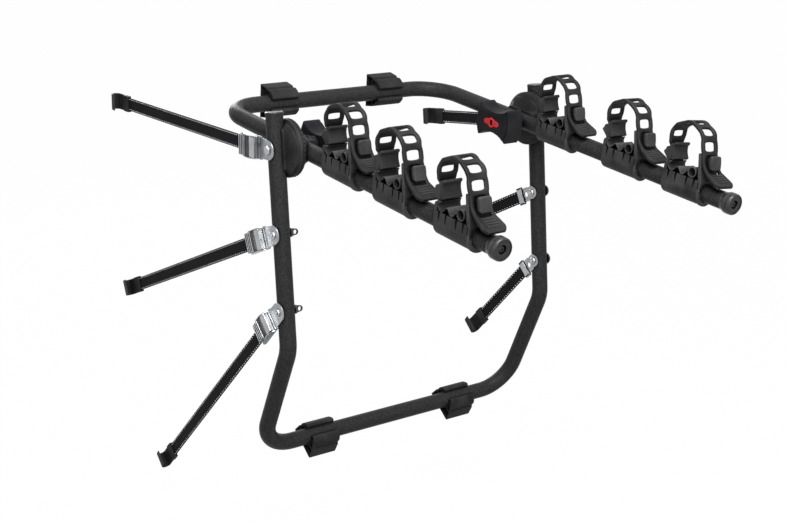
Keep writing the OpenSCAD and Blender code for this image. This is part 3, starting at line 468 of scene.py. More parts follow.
def make(name, shapes, material, body, nodes, at=Matrix(), sharp=34):
    """One piece from shapes in millimetres set at a place, riding on a body in place of CAD nodes."""
    verts, faces = [], []
    for points, corners in shapes:
        base = len(verts)
        verts += [at @ p * mm for p in points]
        faces += [tuple(base + i for i in face) for face in corners]
    mesh = new_mesh(name, verts, [], faces)
    outward(mesh, merge=1e-6)
    smooth(mesh, sharp)
    rough = new_object("rough", mesh)
    even = rough.modifiers.new("even", "WEIGHTED_NORMAL")
    even.keep_sharp = True
    made = new_object(name, baked(rough))
    made.data.materials.append(material)
    attach(made, body, nodes)
    return made


coated = finish("dipped_hook", (0.006, 0.006, 0.0065), (0.03, 0.03, 0.031), (0.4, 0.6), 700, 30, 0.12,
                edge=0.4)
hook_width, strip_t, hook_r, hook_turn, hook_lip = strap_width + 6, 3.0, 8.0, 170, 11.0
pocket_l, pocket_h, pocket_side, pocket_at = 18.0, 6.0, 2.6, -5.0
hook_path = [(-2, 0), (8, 0), (17, 0)] + arc((26, hook_r), hook_r, -90, hook_turn, 20)
tip = hook_path[-1]
hook_path.append((tip[0] + hook_lip * cos(radians(hook_turn)), tip[1] + hook_lip * sin(radians(hook_turn))))
hook_shapes = [swept(hook_path, soft_ring(hook_width, strip_t, 1.1))]
for side in (-1, 1):
    hook_shapes += [
        block((pocket_l, hook_width, strip_t), (pocket_at, 0, side * 2.4), 1.0),
        block((pocket_l, pocket_side, pocket_h), (pocket_at, side * (hook_width - pocket_side) / 2, 0), 0.8)]
for key, (strap, place, start, far) in straps.items():
    spot = place @ shift(far + hook_gap, 0, strap_lie)
    hook = make("hook_%s_coated" % key, hook_shapes, coated, strap_body(key), ["hook_" + key],
                at=spot)
    steps = max(int((far - start) / 20), 8)
    route = [place @ Vector((start + (far - start) * k / steps, 0, strap_lie)) * mm for k in range(steps + 1)]
    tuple(route[0])


# The two frames: round steel tube of 30 mm, bent cold and powder coated black.
# The lower frame is one tube with knees and two feet corners; the carrier is a
# U whose rear corners lead into the two arms.
powder = finish("black_powder_coat", (0.008, 0.008, 0.0085), (0.042, 0.042, 0.043), (0.3, 0.44), 420, 480,
                0.9, speck=1.4, reach=0.03)
arm_drop, arm_len, rear_len, rear_r = 7.9, 519.0, 255.6, 70.0
upright_top, knee_r, foot_r = 60.0, 60.0, 65.0
upright_turn = shift(0, hub_y, hub_z) @ turn("X", -upright_lean)
arm_turn = shift(0, hub_y, hub_z) @ turn("X", arm_drop)


def upright_place(side, down):
    return upright_turn @ shift(side * upright_x, 0, -down)


def arm_place(side, along):
    return arm_turn @ shift(side * arm_x, -along, 0)


tube_sizes = {"Tube Radius": tube_r * mm}
tube_tree, given = node_group("bent_tube", tube_sizes, ["Geometry"], "GeometryNodeTree")
spine = add_node(tube_tree, "GeometryNodeMeshToCurve", {"Mesh": given["Geometry"]})
round_bar = add_node(tube_tree, "GeometryNodeCurvePrimitiveCircle",
                     {"Resolution": 56, "Radius": given["Tube Radius"]})
skin = add_node(tube_tree, "GeometryNodeCurveToMesh", {
    "Curve": spine.outputs["Curve"], "Profile Curve": round_bar.outputs["Curve"], "Fill Caps": True})
end_tree(tube_tree, skin.outputs["Mesh"], powder)
bend_step, straight_step = radians(3.5), 40


def bent_tube(name, corners, body, node):
    """Tube through corners given as (point, bend radius) in millimetres."""
    path = []
    for k, (point, radius) in enumerate(corners):
        p = Vector(point)
        if radius == 0:
            path.append(p)
            continue
        a = (Vector(corners[k - 1][0]) - p).normalized()
        b = (Vector(corners[k + 1][0]) - p).normalized()
        half = a.angle(b) / 2
        centre = p + (a + b).normalized() * radius / sin(half)
        u, w = p + a * radius / tan(half) - centre, p + b * radius / tan(half) - centre
        swing = u.angle(w)
        steps = max(8, int(swing / bend_step))
        for t in (swing * j / steps for j in range(steps + 1)):
            path.append(centre + (u * sin(swing - t) + w * sin(t)) / sin(swing))
    dense = [path[0]]
    for p in path[1:]:
        first = dense[-1]
        pieces = max(1, int((p - first).length / straight_step))
        dense += [first.lerp(p, (j + 1) / pieces) for j in range(pieces)]
    edges = [(k, k + 1) for k in range(len(dense) - 1)]
    tube = new_object(name, grown([p * mm for p in dense], edges, tube_tree, tube_sizes))
    smooth(tube.data, 40)
    attach(tube, body, [node])


def knee_point(side):
    return (side * upright_x, -leg_len * sin(radians(leg_angle)), leg_len * cos(radians(leg_angle)))


bent_tube("lower_tube", [
    (upright_place(-1, -upright_top).translation, 0), (knee_point(-1), knee_r), ((-upright_x, 0, 0), foot_r),
    ((upright_x, 0, 0), foot_r), (knee_point(1), knee_r), (upright_place(1, -upright_top).translation, 0)],
    "lower_frame_body", "lower_frame")
bent_tube("carrier_tube", [
    (arm_place(-1, arm_len).translation, 0), (arm_place(-1, -rear_len).translation, rear_r),
    (arm_place(1, -rear_len).translation, rear_r), (arm_place(1, arm_len).translation, 0)],
    "carrier_body", "carrier_frame")


# Caps: soft black plastic turned shapes, flat ones plugged into the uprights and
# flared ones with a rounded rim, a face ring and a screw recess on the arm ends.
def turned(profile, steps=56):
    """Solid of revolution about z from (radius, height) points."""
    verts, faces, rows = [], [], []
    for r, h in profile:
        count = 1 if r == 0 else steps
        rows.append(list(range(len(verts), len(verts) + count)))
        verts += [Vector((r * cos(2 * pi * k / steps), r * sin(2 * pi * k / steps), h)) for k in range(count)]
    # a profile with both ends off the axis closes into a ring; a face has a point on the axis only once
    closed = rows + ([rows[0]] if profile[0][0] and profile[-1][0] else [])
    for low, high in zip(closed, closed[1:]):
        for k in range(steps):
            j = (k + 1) % steps
            ring = (low[k % len(low)], low[j % len(low)], high[j % len(high)], high[k % len(high)])
            faces.append(tuple(dict.fromkeys(ring)))
    return verts, faces


# edge=1.2 paints a bright highlight on the cap rims, beside the rubbed wear.
cap_plastic = finish("cap_plastic", (0.004, 0.004, 0.0045), (0.026, 0.026, 0.0275), (0.16, 0.3), 1100, 24,
                     0.16, edge=1.2, spec=0.26, reach=0.006)
sides = {"left": -1, "right": 1}
flat_cap = [(0, -8), (12.9, -8), (12.9, -0.1), (15.5, -0.1), (15.8, 0.3), (15.8, 1.9), (15.3, 2.7),
            (14.4, 3.1), (12.6, 3.2), (12.2, 2.9), (0, 2.9)]
make("upright_cap_pair",
     [moved(turned(flat_cap), upright_place(side, -upright_top)) for side in (-1, 1)],
     cap_plastic, "lower_frame_body", ["upright_caps"])
forward = turn("X", 90)
flared_cap = [(15.1, -8.9), (15.5, -8.9), (16.2, -5.6), (17.4, -2.6), (18.0, -1.0), (18.2, -0.6),
              (18.2, 5.4), (17.6, 5.7), (17.6, 6.2), (18.1, 6.6), (18.1, 9.4), (17.7, 10.9), (16.8, 12.3),
              (16.3, 12.7), (15.8, 12.9), (15.5, 12.9), (15.3, 12.6), (15.1, 11.6), (8.4, 11.6), (7.6, 11.3),
              (7.2, 10.6), (7.2, 6.5), (3, 6.5), (3, 0.1), (15.1, 0.1)]
make("arm_cap_pair",
     [moved(turned(flared_cap), arm_place(side, arm_len) @ forward) for side in (-1, 1)],
     cap_plastic, "carrier_body", ["arm_caps"])
# Dark metal: the real colour of the cap screws, and painted shade on the cam drums under the buckle levers.
dark_screw_and_painted_shade = finish("dark_screw_and_painted_shade", (0.03, 0.03, 0.032), (0.12, 0.12, 0.125), (0.3, 0.5), 900, 60, 0.1,
                    metal=0.6)
screw_head = [(0, 5.0), (2.4, 5.0), (2.4, 6.7), (5.3, 6.7), (5.4, 7.2), (5.2, 8.2), (4.4, 9.2), (3.2, 9.6),
              (2.2, 9.6), (2.0, 8.2), (0, 8.0)]
make("cap_screw_pair",
     [moved(turned(screw_head, 24), arm_place(side, arm_len) @ forward) for side in (-1, 1)],
     dark_screw_and_painted_shade, "carrier_body", ["cap_screws"])


# The hubs: a plain plate with a saddle for the upright, and facing it a plate with
# a knurled rim and a saddle for the arm, both moulded in black filled nylon. A
# saddle washer sits on the inner side of each arm.
def sloping_block(rows, steps=64):
    """Solid between outlines set along x, each a rounded box of (x, half y, half z, squareness)."""
    verts = []
    for x, half_y, half_z, power in rows:
        for a in (2 * pi * k / steps for k in range(steps)):
            reach = (abs(cos(a) / half_y) ** power + abs(sin(a) / half_z) ** power) ** (-1 / power)
            verts.append(Vector((x, reach * cos(a), reach * sin(a))))
    return verts, skin_faces(len(rows), steps)


def knurled(profile, dips, grooves, steps):
    """Turned shape whose rows dip by their depths in every groove of the rim."""
    verts, faces = turned(profile, steps)
    for k, v in enumerate(verts):
        wave = 0.5 - 0.5 * cos(atan2(v.y, v.x) * grooves)
        v.xy *= 1 - dips[k // steps] * wave ** 2 / hub_r
    return verts, faces


def on_side(side, axis_turn, x):
    """Place at x along a turned cross axis, mirrored for the left side."""
    return Matrix.Diagonal((side, 1, 1, 1)) @ axis_turn @ shift(x)


hub_cast = finish("hub_nylon", (0.005, 0.005, 0.0055), (0.034, 0.034, 0.0355), (0.4, 0.58), 900, 18, 0.2,
                  edge=0.45)
hub_r, hub_half_gap, rim_grooves, groove_deep = 50.0, 0.15, 40, 1.1
joint_x = (upright_x + arm_x) / 2
out_x, in_x = turn("Y", 90), turn("Y", -90)
hub_profile = [(5.1, 0), (49.2, 0), (hub_r, 0.8), (hub_r, 4.2), (49.2, 5.4), (47.8, 6.6), (45, 9.2),
               (44, 9.6), (33, 9.6), (32, 10.6), (5.1, 10.6)]
arm_profile = [(5.1, 0), (49.4, 0), (hub_r, 0.5), (hub_r, 1.1), (hub_r, 4.2), (49.4, 5.2), (47.2, 7),
               (42, 9.2), (40.5, 9.6), (5.1, 9.6)]
rim_dips = [0, 0, 0, groove_deep, groove_deep, 0, 0, 0, 0, 0]
saddle = upright_x - joint_x - hub_half_gap
hub_shapes = [moved(turned(hub_profile, 72), out_x),
              sloping_block([(9, 42.5, 44, 2.6), (10.2, 41, 43.2, 2.8), (saddle - 5, 20.5, 36, 7),
                             (saddle - 2, 19.6, 35, 8), (saddle - 1.4, 18.4, 33.8, 8)])]
arm_shapes = [moved(knurled(arm_profile, rim_dips, rim_grooves, rim_grooves * 8), in_x),
              sloping_block([(-8.8, 42, 41.4, 2.4), (-10, 41, 40.4, 2.5), (5 - saddle, 36, 20.5, 7),
                             (2 - saddle, 35, 19.6, 8), (1.4 - saddle, 33.8, 18.4, 8)])]
for name, shapes, axis_turn, x, body in (
        ("hub", hub_shapes, upright_turn, joint_x + hub_half_gap, "lower_frame_body"),
        ("arm", arm_shapes, arm_turn, joint_x - hub_half_gap, "carrier_body")):
    for word, side in sides.items():
        make("%s_disc_%s" % (name, word), shapes, hub_cast, body, ["%s_plate_%s" % (name, word)],
             at=on_side(side, axis_turn, x))
washer_profile = [(5.1, 0), (16.4, 0), (17, 0.6), (17, 4.4), (16.4, 5), (5.1, 5)]
shapes = []
for side in (-1, 1):
    spot = on_side(side, arm_turn, arm_x - washer_face)
    shapes += [moved(block((16, 38, 30), (8, 0, 0), 2.4), spot), moved(turned(washer_profile), spot @ out_x)]
make("saddle_washer_pair", shapes, hub_cast, "carrier_body", ["saddle_washers"])


# The bolts: zinc plated steel. Flat heads on the buckles and plates, a domed head
# on the right hub, black loop nuts on the left upright and domed ones on the right.
def plate(loops, depth, edge):
    """Flat piece with soft edges from closed outlines, holes inside, from z 0 to depth."""
    flat = bpy.data.curves.new("flat", "CURVE")
    flat.dimensions = "2D"
    flat.fill_mode = "BOTH"
    flat.extrude = depth / 2 - edge
    flat.bevel_depth = edge
    flat.bevel_resolution = 1
    flat.offset = -edge
    for loop in loops:
        line = flat.splines.new("POLY")
        line.points.add(len(loop) - 1)
        for point, (x, y) in zip(line.points, loop):
            point.co = (x, y, 0, 1)
        line.use_cyclic_u = True
    return shape_of(baked(new_object("flat", flat)), shift(0, 0, depth / 2))


def circle(radius, centre=(0, 0), steps=40):
    return arc(centre, radius, 0, 360 * (steps - 1) / steps, steps - 1)


def lay(x, y, z):
    """Turn that lays a shape's own x, y and z along the axes named, such as "-y"."""
    columns = [[float(axis[0] + "1") * (letter == axis[1]) for letter in "xyz"] for axis in (x, y, z)]
    return Matrix(columns).transposed().to_4x4()


def shank(radius, x0, x1):
    return moved(turned([(0, 0), (radius, 0), (radius, x1 - x0), (0, x1 - x0)], 32), shift(x0) @ out_x)


bright_zinc = finish("zinc_bolt", (0.28, 0.29, 0.30), (0.62, 0.63, 0.64), (0.24, 0.4), 900, 60, 0.1,
                     metal=1.0, edge=0.4, reach=0.005)
flat_head = [(0, 4.0), (3.4, 4.0), (3.4, 2.7), (5.6, 2.6), (6.6, 1.8), (7, 0.9), (7, 0), (0, 0)]
hub_left_head = [(0, 3.8), (5.4, 3.8), (7.6, 3.0), (8.5, 1.4), (8.5, 0), (0, 0)]
dome_head = [(0, 8), (3, 7.8), (5.6, 7.2), (7.8, 6.1), (9.4, 4.8), (10.6, 2.6), (11, 1.2), (11, 0), (0, 0)]
hub_bolt_r, strap_bolt_r, tip_x = 5.0, 4.0, 191.4
left_end, right_end = left_eye_x - sheet_t - thin_gap, upright_x + tube_r + thin_gap
make("hub_bolt_pair",
     [moved(shank(hub_bolt_r, left_end, -tip_x), arm_turn),
      moved(turned(hub_left_head, 6), arm_turn @ shift(left_end) @ in_x),
      moved(shank(hub_bolt_r, tip_x, right_end), arm_turn),
      moved(turned(dome_head), arm_turn @ shift(right_end) @ out_x)],
     bright_zinc, "lower_frame_body", ["hub_bolts"])
dome_nut = [(0, 8.6), (4, 8.2), (6, 7.7), (7.8, 6.8), (9.4, 5.5), (10.4, 4.2), (11.2, 2.8), (11.5, 2.0),
            (11.5, 1.2), (11.1, 0.9), (11.5, 0.6), (11.5, 0), (0, 0)]
collar = [(4.2, 0), (8, 0), (8, 3.6), (7, 5), (4.2, 5)]
loop_outline = [(0.5, 8), (14, 5.2)] + arc((12.4, 0), 5.6, 70, -140, 14) + [(14, -5.2), (0.5, -8)]
loop_t = 4.0
head_x, nut_x = -tube_r - sheet_t - 2 * thin_gap, tube_r + thin_gap
bolts, loop_nuts, dome_nuts = [], [], []
for down in (bolt_down["mid"], bolt_down["low"]):
    for side in (-1, 1):
        spot = upright_place(side, down)
        bolts += [moved(shank(strap_bolt_r, head_x, tube_r + 5), spot),
                  moved(turned(flat_head, 40), spot @ shift(head_x) @ in_x)]
    spot = upright_place(-1, down) @ shift(nut_x)
    loop_nuts += [moved(turned(collar, 40), spot @ out_x),
                  moved(plate([loop_outline, circle(3.5, (11.6, 0))], loop_t, 1.2),
                        spot @ shift(0, loop_t / 2) @ lay("+x", "+z", "-y"))]
    dome_nuts.append(moved(turned(dome_nut), upright_place(1, down) @ shift(nut_x) @ out_x))
make("strap_bolt_set", bolts, bright_zinc, "lower_frame_body", ["strap_bolts"])
make("loop_nut_pair", loop_nuts, cap_plastic, "lower_frame_body", ["eye_nuts"])
make("dome_nut_pair", dome_nuts, cap_plastic, "lower_frame_body", ["dome_nuts"])


# The clamping knobs: bow-tie shaped, moulded in black nylon with hollowed long
# sides and a neck, and a red four-lobed insert pressed into the face.
knob_nylon = finish("knob_nylon", (0.003, 0.003, 0.0035), (0.020, 0.020, 0.022), (0.36, 0.52), 1000, 20, 0.2,
                    edge=0.5)
red_plastic = finish("red_insert", (0.30, 0.016, 0.022), (0.50, 0.045, 0.055), (0.35, 0.5), 900, 60, 0.1)
knob_l, knob_h, knob_t, knob_waist, knob_waist_r, knob_end_r = 92.0, 63.0, 37.0, 12.0, 62.0, 64.0
knob_face, face_step, face_t = 179.4, 2.2, 5.0
lift = knob_h / 2 - knob_waist + knob_waist_r
swing = degrees(acos((lift - knob_h / 2) / knob_waist_r))
reach = degrees(asin(knob_h / 2 / knob_end_r))
bow_tie = (arc((0, lift), knob_waist_r, 270 - swing, 2 * swing, 24)
           + arc((knob_l / 2 - knob_end_r, 0), knob_end_r, -reach, 2 * reach, 16)
           + arc((0, -lift), knob_waist_r, 90 - swing, 2 * swing, 24)
           + arc((knob_end_r - knob_l / 2, 0), knob_end_r, 180 - reach, 2 * reach, 16))
bow_tie.sort(key=lambda p: atan2(p[1], p[0]))
face_inset = 5.0
raised_face = [(x * (1 - face_inset / 46), y * (1 - face_inset / 31)) for x, y in bow_tie]
insert_outline = []
for a in (2 * pi * k / 72 for k in range(72)):
    lobe = max(0.0, cos(2 * a)) ** 2 * (11 if abs(cos(a)) > 0.7 else 3.2)
    insert_outline.append(((10.2 + lobe) * cos(a), (9.2 + lobe) * sin(a)))
insert_seat = [(1.03 * x, 1.03 * y) for x, y in insert_outline]
oval = [(0.75 * x, 1.2 * y) for x, y in circle(5.2)]
neck = [(0, 0), (15.5, 0), (15.5, 7.6), (14.8, 8.4), (0, 8.4)]
face_on = lay("+y", "+z", "+x")
grip_shapes = [
    moved(plate([bow_tie], knob_t - face_step, 2.4), shift(knob_face + face_step) @ face_on),
    moved(plate([raised_face, insert_seat], face_t, 1.2), shift(knob_face) @ face_on),
    moved(turned(neck), shift(knob_face + knob_t - 1) @ out_x)]
badge_shapes = [
    moved(plate([insert_outline, oval], 3.0, 0.7), shift(knob_face - 0.4) @ face_on),
    moved(plate([circle(9.4), oval], 1.6, 0.6), shift(knob_face - 1.1) @ face_on)]
for word, side in sides.items():
    spot = on_side(side, arm_turn, 0)
    make("knob_grip_" + word, grip_shapes, knob_nylon, "knob_%s_body" % word, ["knob_" + word],
         at=spot)
    make("knob_badge_" + word, badge_shapes, red_plastic, "knob_%s_body" % word, ["insert_" + word],
         at=spot)


# The pads: an extruded rubber clip, open at the mouth, snapped over a tube, with a
# flat foot for the vehicle and hollow chambers that show at both ends.
def rounded(points, radius, steps=4):
    """Closed outline with its corners rounded."""
    outline = []
    n = len(points)
    for k in range(n):
        p = Vector(points[k])
        a, b = Vector(points[k - 1]) - p, Vector(points[(k + 1) % n]) - p
        reach = min(radius, 0.45 * a.length, 0.45 * b.length)
        start, end = p + a.normalized() * reach, p + b.normalized() * reach
        for t in (j / steps for j in range(steps + 1)):
            outline.append(tuple(start * (1 - t) ** 2 + p * 2 * t * (1 - t) + end * t ** 2))
    return outline


pad_rubber = finish("pad_rubber", (0.006, 0.006, 0.006), (0.034, 0.034, 0.035), (0.5, 0.72), 1300, 26, 0.22,
                    edge=0.35)
pad_length, pad_bore, pad_ring, pad_foot, pad_half, mouth = 58.0, 15.1, 17.4, 27.0, 32.0, 146
lip = [(5.4, 28.4), (3.6, 25.6), (1.2, 25.0), (-3, 26.2), (-8, 24.6), (-13, 20.8), (-17.4, 16), (-19, 12.6),
       (-17.6, 9.9), (-12.6, 8.5)]
foot = [(pad_foot, -pad_half), (pad_foot, pad_half)]
pad_outline = (rounded([(x, -y) for x, y in reversed(lip)] + foot + lip, 1.4)
               + arc((0, 0), pad_bore, mouth, -2 * mouth, 40))


def chamber(corners, start, end):
    """Hollow between corners and the ring around the tube, from one point by the ring to another."""
    first, last = degrees(atan2(start[1], start[0])), degrees(atan2(end[1], end[0]))
    return corners + arc((0, 0), pad_ring, first, last - first, 8)


upper_chambers = [chamber([(24.2, 3.2), (24.2, 28.4), (9, 26.3)], (9.0, 14.9), (17.1, 3.0)),
                  chamber([(5.6, 25.2), (-14, 12.9)], (-14.0, 10.3), (5.6, 16.5))]
chambers = upper_chambers + [[(x, -y) for x, y in loop] for loop in upper_chambers]
clip = moved(plate([pad_outline] + chambers, pad_length, 0.7), shift(-pad_length / 2) @ face_on)
upper_x, lower_x, upper_turn, lower_turn = 122, 163, 4.5, -49
for word, side in sides.items():
    upper = arm_turn @ shift(side * upper_x, rear_len) @ turn("X", upper_turn - arm_drop)
    lower = shift(side * lower_x) @ turn("X", lower_turn)
    for row, spot in (("upper", upper), ("lower", lower)):
        pad = "%s_pad_%s" % (row, word)
        make("%s_clip_%s" % (row, word), [clip], pad_rubber, pad + "_body", [pad], at=spot)


# The cradles: moulded nylon sleeves fixed on the arms, their sides slotted under the
# seat, with an inner post for the cushion and a leaning outer post with a peg.
side_on = lay("-y", "+z", "-x")


def side_plate(loops, width, edge):
    """Outlines in (front, up) drawn out across the arm, about its middle."""
    return moved(plate(loops, width, edge), shift(width / 2) @ side_on)


cradle_nylon = finish("cradle_nylon", (0.007, 0.007, 0.0075), (0.056, 0.056, 0.058), (0.4, 0.58), 1000, 22,
                      0.22, edge=0.5, spec=0.1, reach=0.028)
# side of the rack, place along the arm and roll about it in degrees
stations = {"left_1": (-1, 142.0, 0), "left_2": (-1, 284.0, 0), "left_3": (-1, 438.0, 0),
            "right_1": (1, 113.5, 0), "right_2": (1, 285.25, 3), "right_3": (1, 429.0, 6)}
cradle_places = {key: arm_place(side, along) @ turn("Y", roll)
                 for key, (side, along, roll) in stations.items()}
sleeve_half, sleeve_r, flange_r = 41.75, 21.5, 22.5
sleeve_profile = [(15.1, -sleeve_half), (20.7, -sleeve_half), (sleeve_r, 0.9 - sleeve_half), (sleeve_r, 36.6),
                  (21.9, 37.0), (22.3, 37.3), (flange_r, 37.9), (flange_r, 41.0), (21.8, sleeve_half),
                  (15.1, sleeve_half)]
seat_z, wave_h, wave_l, crest_back = 21.3, 9.2, 23.0, 13.6
liner_t, loop_r, curl_r, liner_gap, wave_tail = 1.8, 8.8, 8.5, 0.3, 1.4
saddle_z = seat_z - liner_t / 2 - liner_gap
waves_end = wave_l - crest_back + wave_tail
slots = [-crest_back - 0.7 * wave_l, -crest_back, wave_l - crest_back + 1, waves_end + 2 * loop_r - 2]
slot_foot, slot_top, slot_low = 0.7, 2.3, 5.0
heel = [(-41.6, 1), (-41.6, 30), (-39.5, 34), (-35, 34)]
core = heel + [(-35, saddle_z - 0.4), (38, saddle_z - 0.4), (38, 1)]
comb = heel + [(-35, saddle_z)]
for v in slots:
    comb += [(v - slot_top, saddle_z), (v - slot_foot, slot_low),
             (v + slot_foot, slot_low), (v + slot_top, saddle_z)]
comb += [(36, saddle_z), (36, 1)]
comb_side = side_plate([rounded(comb, 0.7, 2)], 6, 0.45)
inner_post = [(-41.5, 18), (-41.5, 61), (-39.5, 64), (-36, 64), (-35, 63), (-35, 18)]
front_foot = [(37.4, 0), (37.4, 21.5), (40.6, 21), (sleeve_half, 18.5), (sleeve_half, 0)]
ear_shape = [(-45, 57.6), (-40.5, 57), (-40.5, 34), (-53, 45), (-53.8, 47.4), (-50.3, 51), (-49.6, 55)]
ear_side = side_plate([rounded(ear_shape, 2.6)], 4.8, 0.8)
outer_post = [(-21.4, -31.2), (-21.4, -21), (-17, 18), (17, 18), (21.4, -21), (21.4, -31.2)]
outer_t, outer_lean = 6.4, 70.5
peg_head = [(-11.2, -12), (11.2, -12), (12, 0), (11, 12), (-11, 12), (-12, 0)]
across_post = lay("+z", "+y", "+x")
post_face = side_on @ shift(31.49, 48.07) @ turn("Z", 90 - outer_lean)
cradle_shapes = [
    moved(turned(sleeve_profile), forward),
    side_plate([core], 31, 0.2),
    side_plate([rounded(inner_post, 2.0)], 34, 1.0),
    side_plate([rounded(front_foot, 1.2)], 43, 0.8),
    moved(plate([rounded(outer_post, 3.0)], outer_t, 1.0), post_face @ shift(-outer_t) @ across_post),
    moved(block((12, 14, 16), (4.4, 0, 0), 1.0), post_face),
    moved(plate([rounded(peg_head, 4.2, 6)], 7.4, 1.7), post_face @ shift(9.6) @ turn("Z", -7) @ across_post)]
for side in (-1, 1):
    cradle_shapes += [moved(comb_side, shift(side * 18.5)), moved(ear_side, shift(side * 13.9))]
for key, spot in cradle_places.items():
    make("cradle_shell_" + key, cradle_shapes, cradle_nylon, "carrier_body", ["cradle_" + key],
         at=spot)


# The seat rubber: a soft cushion with lips on every inner post, and below it a wavy
# liner that starts in a curl and ends in a tube against the outer post.
strap_rubber = finish("strap_rubber", (0.006, 0.006, 0.006), (0.034, 0.034, 0.035), (0.46, 0.66), 1200, 24,
                      0.18, edge=0.5, spec=0.1, reach=0.02)
# edge=0.8 paints the thin lit edges of the liner as a highlight, beside the rubbed wear.
seat_rubber = finish("seat_rubber", (0.008, 0.008, 0.008), (0.06, 0.06, 0.062), (0.42, 0.6), 1200, 24, 0.15,
                     edge=0.8, spec=0.1, reach=0.014)
cushion_side = [(-34.9, 36), (-34.9, 65), (-33.4, 67), (-30.6, 67), (-29, 65), (-29.4, 63), (-31.6, 61),
                (-32, 58), (-31.4, 53.6), (-30, 49), (-27.6, 44.4), (-25.5, 40.8), (-26, 39.2), (-28.4, 37.4)]
cushion = side_plate([rounded(cushion_side, 1.3)], 36, 1.3)
make("cushion_set", [moved(cushion, spot) for spot in cradle_places.values()],
     strap_rubber, "carrier_body", ["cushions"])
liner_width = 42
first_valley = -crest_back - wave_l / 2
liner_line = arc((first_valley, seat_z + curl_r), curl_r, 140, 118, 12)
for k in range(25):
    v = first_valley + k * (waves_end - first_valley) / 24
    liner_line.append((v, seat_z + wave_h / 2 * (1 + cos(2 * pi * (v + crest_back) / wave_l))))
wavy = moved(swept(liner_line, soft_ring(liner_width, liner_t, 0.55)), lay("-y", "+x", "+z"))
loop_at = (waves_end - wave_tail + loop_r, seat_z + loop_r)
loop = side_plate([circle(loop_r, loop_at), circle(loop_r - liner_t, loop_at)], liner_width, 0.5)
make("liner_set", [moved(s, spot) for spot in cradle_places.values() for s in (wavy, loop)],
     seat_rubber, "carrier_body", ["liners"])


# The ladder straps: moulded rubber bands with rounded windows and scalloped edges,
# hinged behind the inner post, arched over the seat and hung on the peg.
root_v, root_z, ladder_t = -45.0, 52.0, 5.0
# the middle line from its root up: a length and no turn, or a radius and a turn in degrees
bends = [(30.0, 0), (18.0, -65.0), (18.0, 0), (18.0, -50.0), (15.0, 0), (18.0, -45.5), (43.8, 0),
         (22.0, 46.0), (35.0, 0)]


def ladder_point(s):
    """Place and heading on the strap's middle line, s millimetres from its root."""
    x, y, heading = root_v, root_z, pi / 2
    for size, bend in bends:
        run = min(s, size * abs(radians(bend)) if bend else size)
        s -= run
        if bend:
            radius = size if bend > 0 else -size
            before, heading = heading, heading + run / radius
            x += radius * (sin(heading) - sin(before))
            y += radius * (cos(before) - cos(heading))
        else:
            x += run * cos(heading)
            y += run * sin(heading)
    return x, y, heading


# start and end of each window along the middle line, and the rows of the strap's cage
windows = [(22.5, 32.5), (47.5, 62.5), (71.5, 86.5), (95.5, 110.5), (121.0, 136.0), (143.5, 178.0)]
window_half, strap_end = 11.25, 209.9
rows = [0.0, 5.0, 7.6, 12.0, 17.0]
for k, (low, high) in enumerate(windows):
    inset = min(4.0, (high - low) * 0.28)
    rows += [low, low + inset, (low + high) / 2, high - inset, high]
    if k + 1 < len(windows):
        gap = windows[k + 1][0] - high
        rows += [high + gap * 0.3, high + gap * 0.7] if gap > 8 else [high + gap * 0.5]
rows += [176.0, 182.0, 188.0, 194.0, 199.4, 204.0, 207.6, strap_end]
rows = sorted(set(round(r, 2) for r in rows))


def half_width(s):
    """Half of the strap's width: swells beside the windows, narrow at the bars, wide at the tab."""
    if s < 12:
        return 11.0 if s < 6 else 11.0 + (s - 6) / 6 * 6.9
    if s > 174:
        return 18.7 + (s - 174) / 25 * 3.4 if s < 199.5 else 22.1 - ((s - 199.5) / 10.4) ** 1.6 * 7.0
    swell = 0.0
    for low, high in windows:
        reach = abs(s - (low + high) / 2) / ((high - low) / 2 + 4.5)
        swell = max(swell, 1 - reach ** 4) if reach < 1 else swell
    return 17.1 + 2.0 * swell


def ladder_band():
    """Cage of the strap with its windows left out, smoothed into soft rubber."""
    columns = 6
    verts, faces, keep = [], [], {}

    def corner(r, c, top):
        if (r, c, top) not in keep:
            x, y, heading = ladder_point(rows[r])
            wide = half_width(rows[r])
            inner = min(window_half, wide - 4)
            across = (-wide, -wide + 1.6, -inner, inner, wide - 1.6, wide)[c]
            raised = (ladder_t / 2 + 0.25) * (1 if top else -1)
            keep[(r, c, top)] = len(verts)
            verts.append(Vector((x - sin(heading) * raised, y + cos(heading) * raised, across)))
        return keep[(r, c, top)]

    def open_cell(r, c):
        middle = (rows[r] + rows[r + 1]) / 2
        return c == 2 and any(low < middle < high for low, high in windows)

    cells = {(r, c) for r in range(len(rows) - 1) for c in range(columns - 1) if not open_cell(r, c)}
    for r, c in sorted(cells):
        ring = [(r, c), (r + 1, c), (r + 1, c + 1), (r, c + 1)]
        for top in (0, 1):
            faces.append([corner(*p, top) for p in ring])
        # a wall on each side that no other cell joins
        beside = [(r, c - 1), (r + 1, c), (r, c + 1), (r - 1, c)]
        for k, other in enumerate(beside):
            if other not in cells:
                p, q = ring[k], ring[(k + 1) % 4]
                faces.append((corner(*p, 0), corner(*q, 0), corner(*q, 1), corner(*p, 1)))
    mesh = new_mesh("ladder", verts, [], faces)
    outward(mesh)
    cage = new_object("cage", mesh)
    soft = cage.modifiers.new("soft", "SUBSURF")
    soft.levels = soft.render_levels = 2
    return shape_of(baked(cage), side_on)


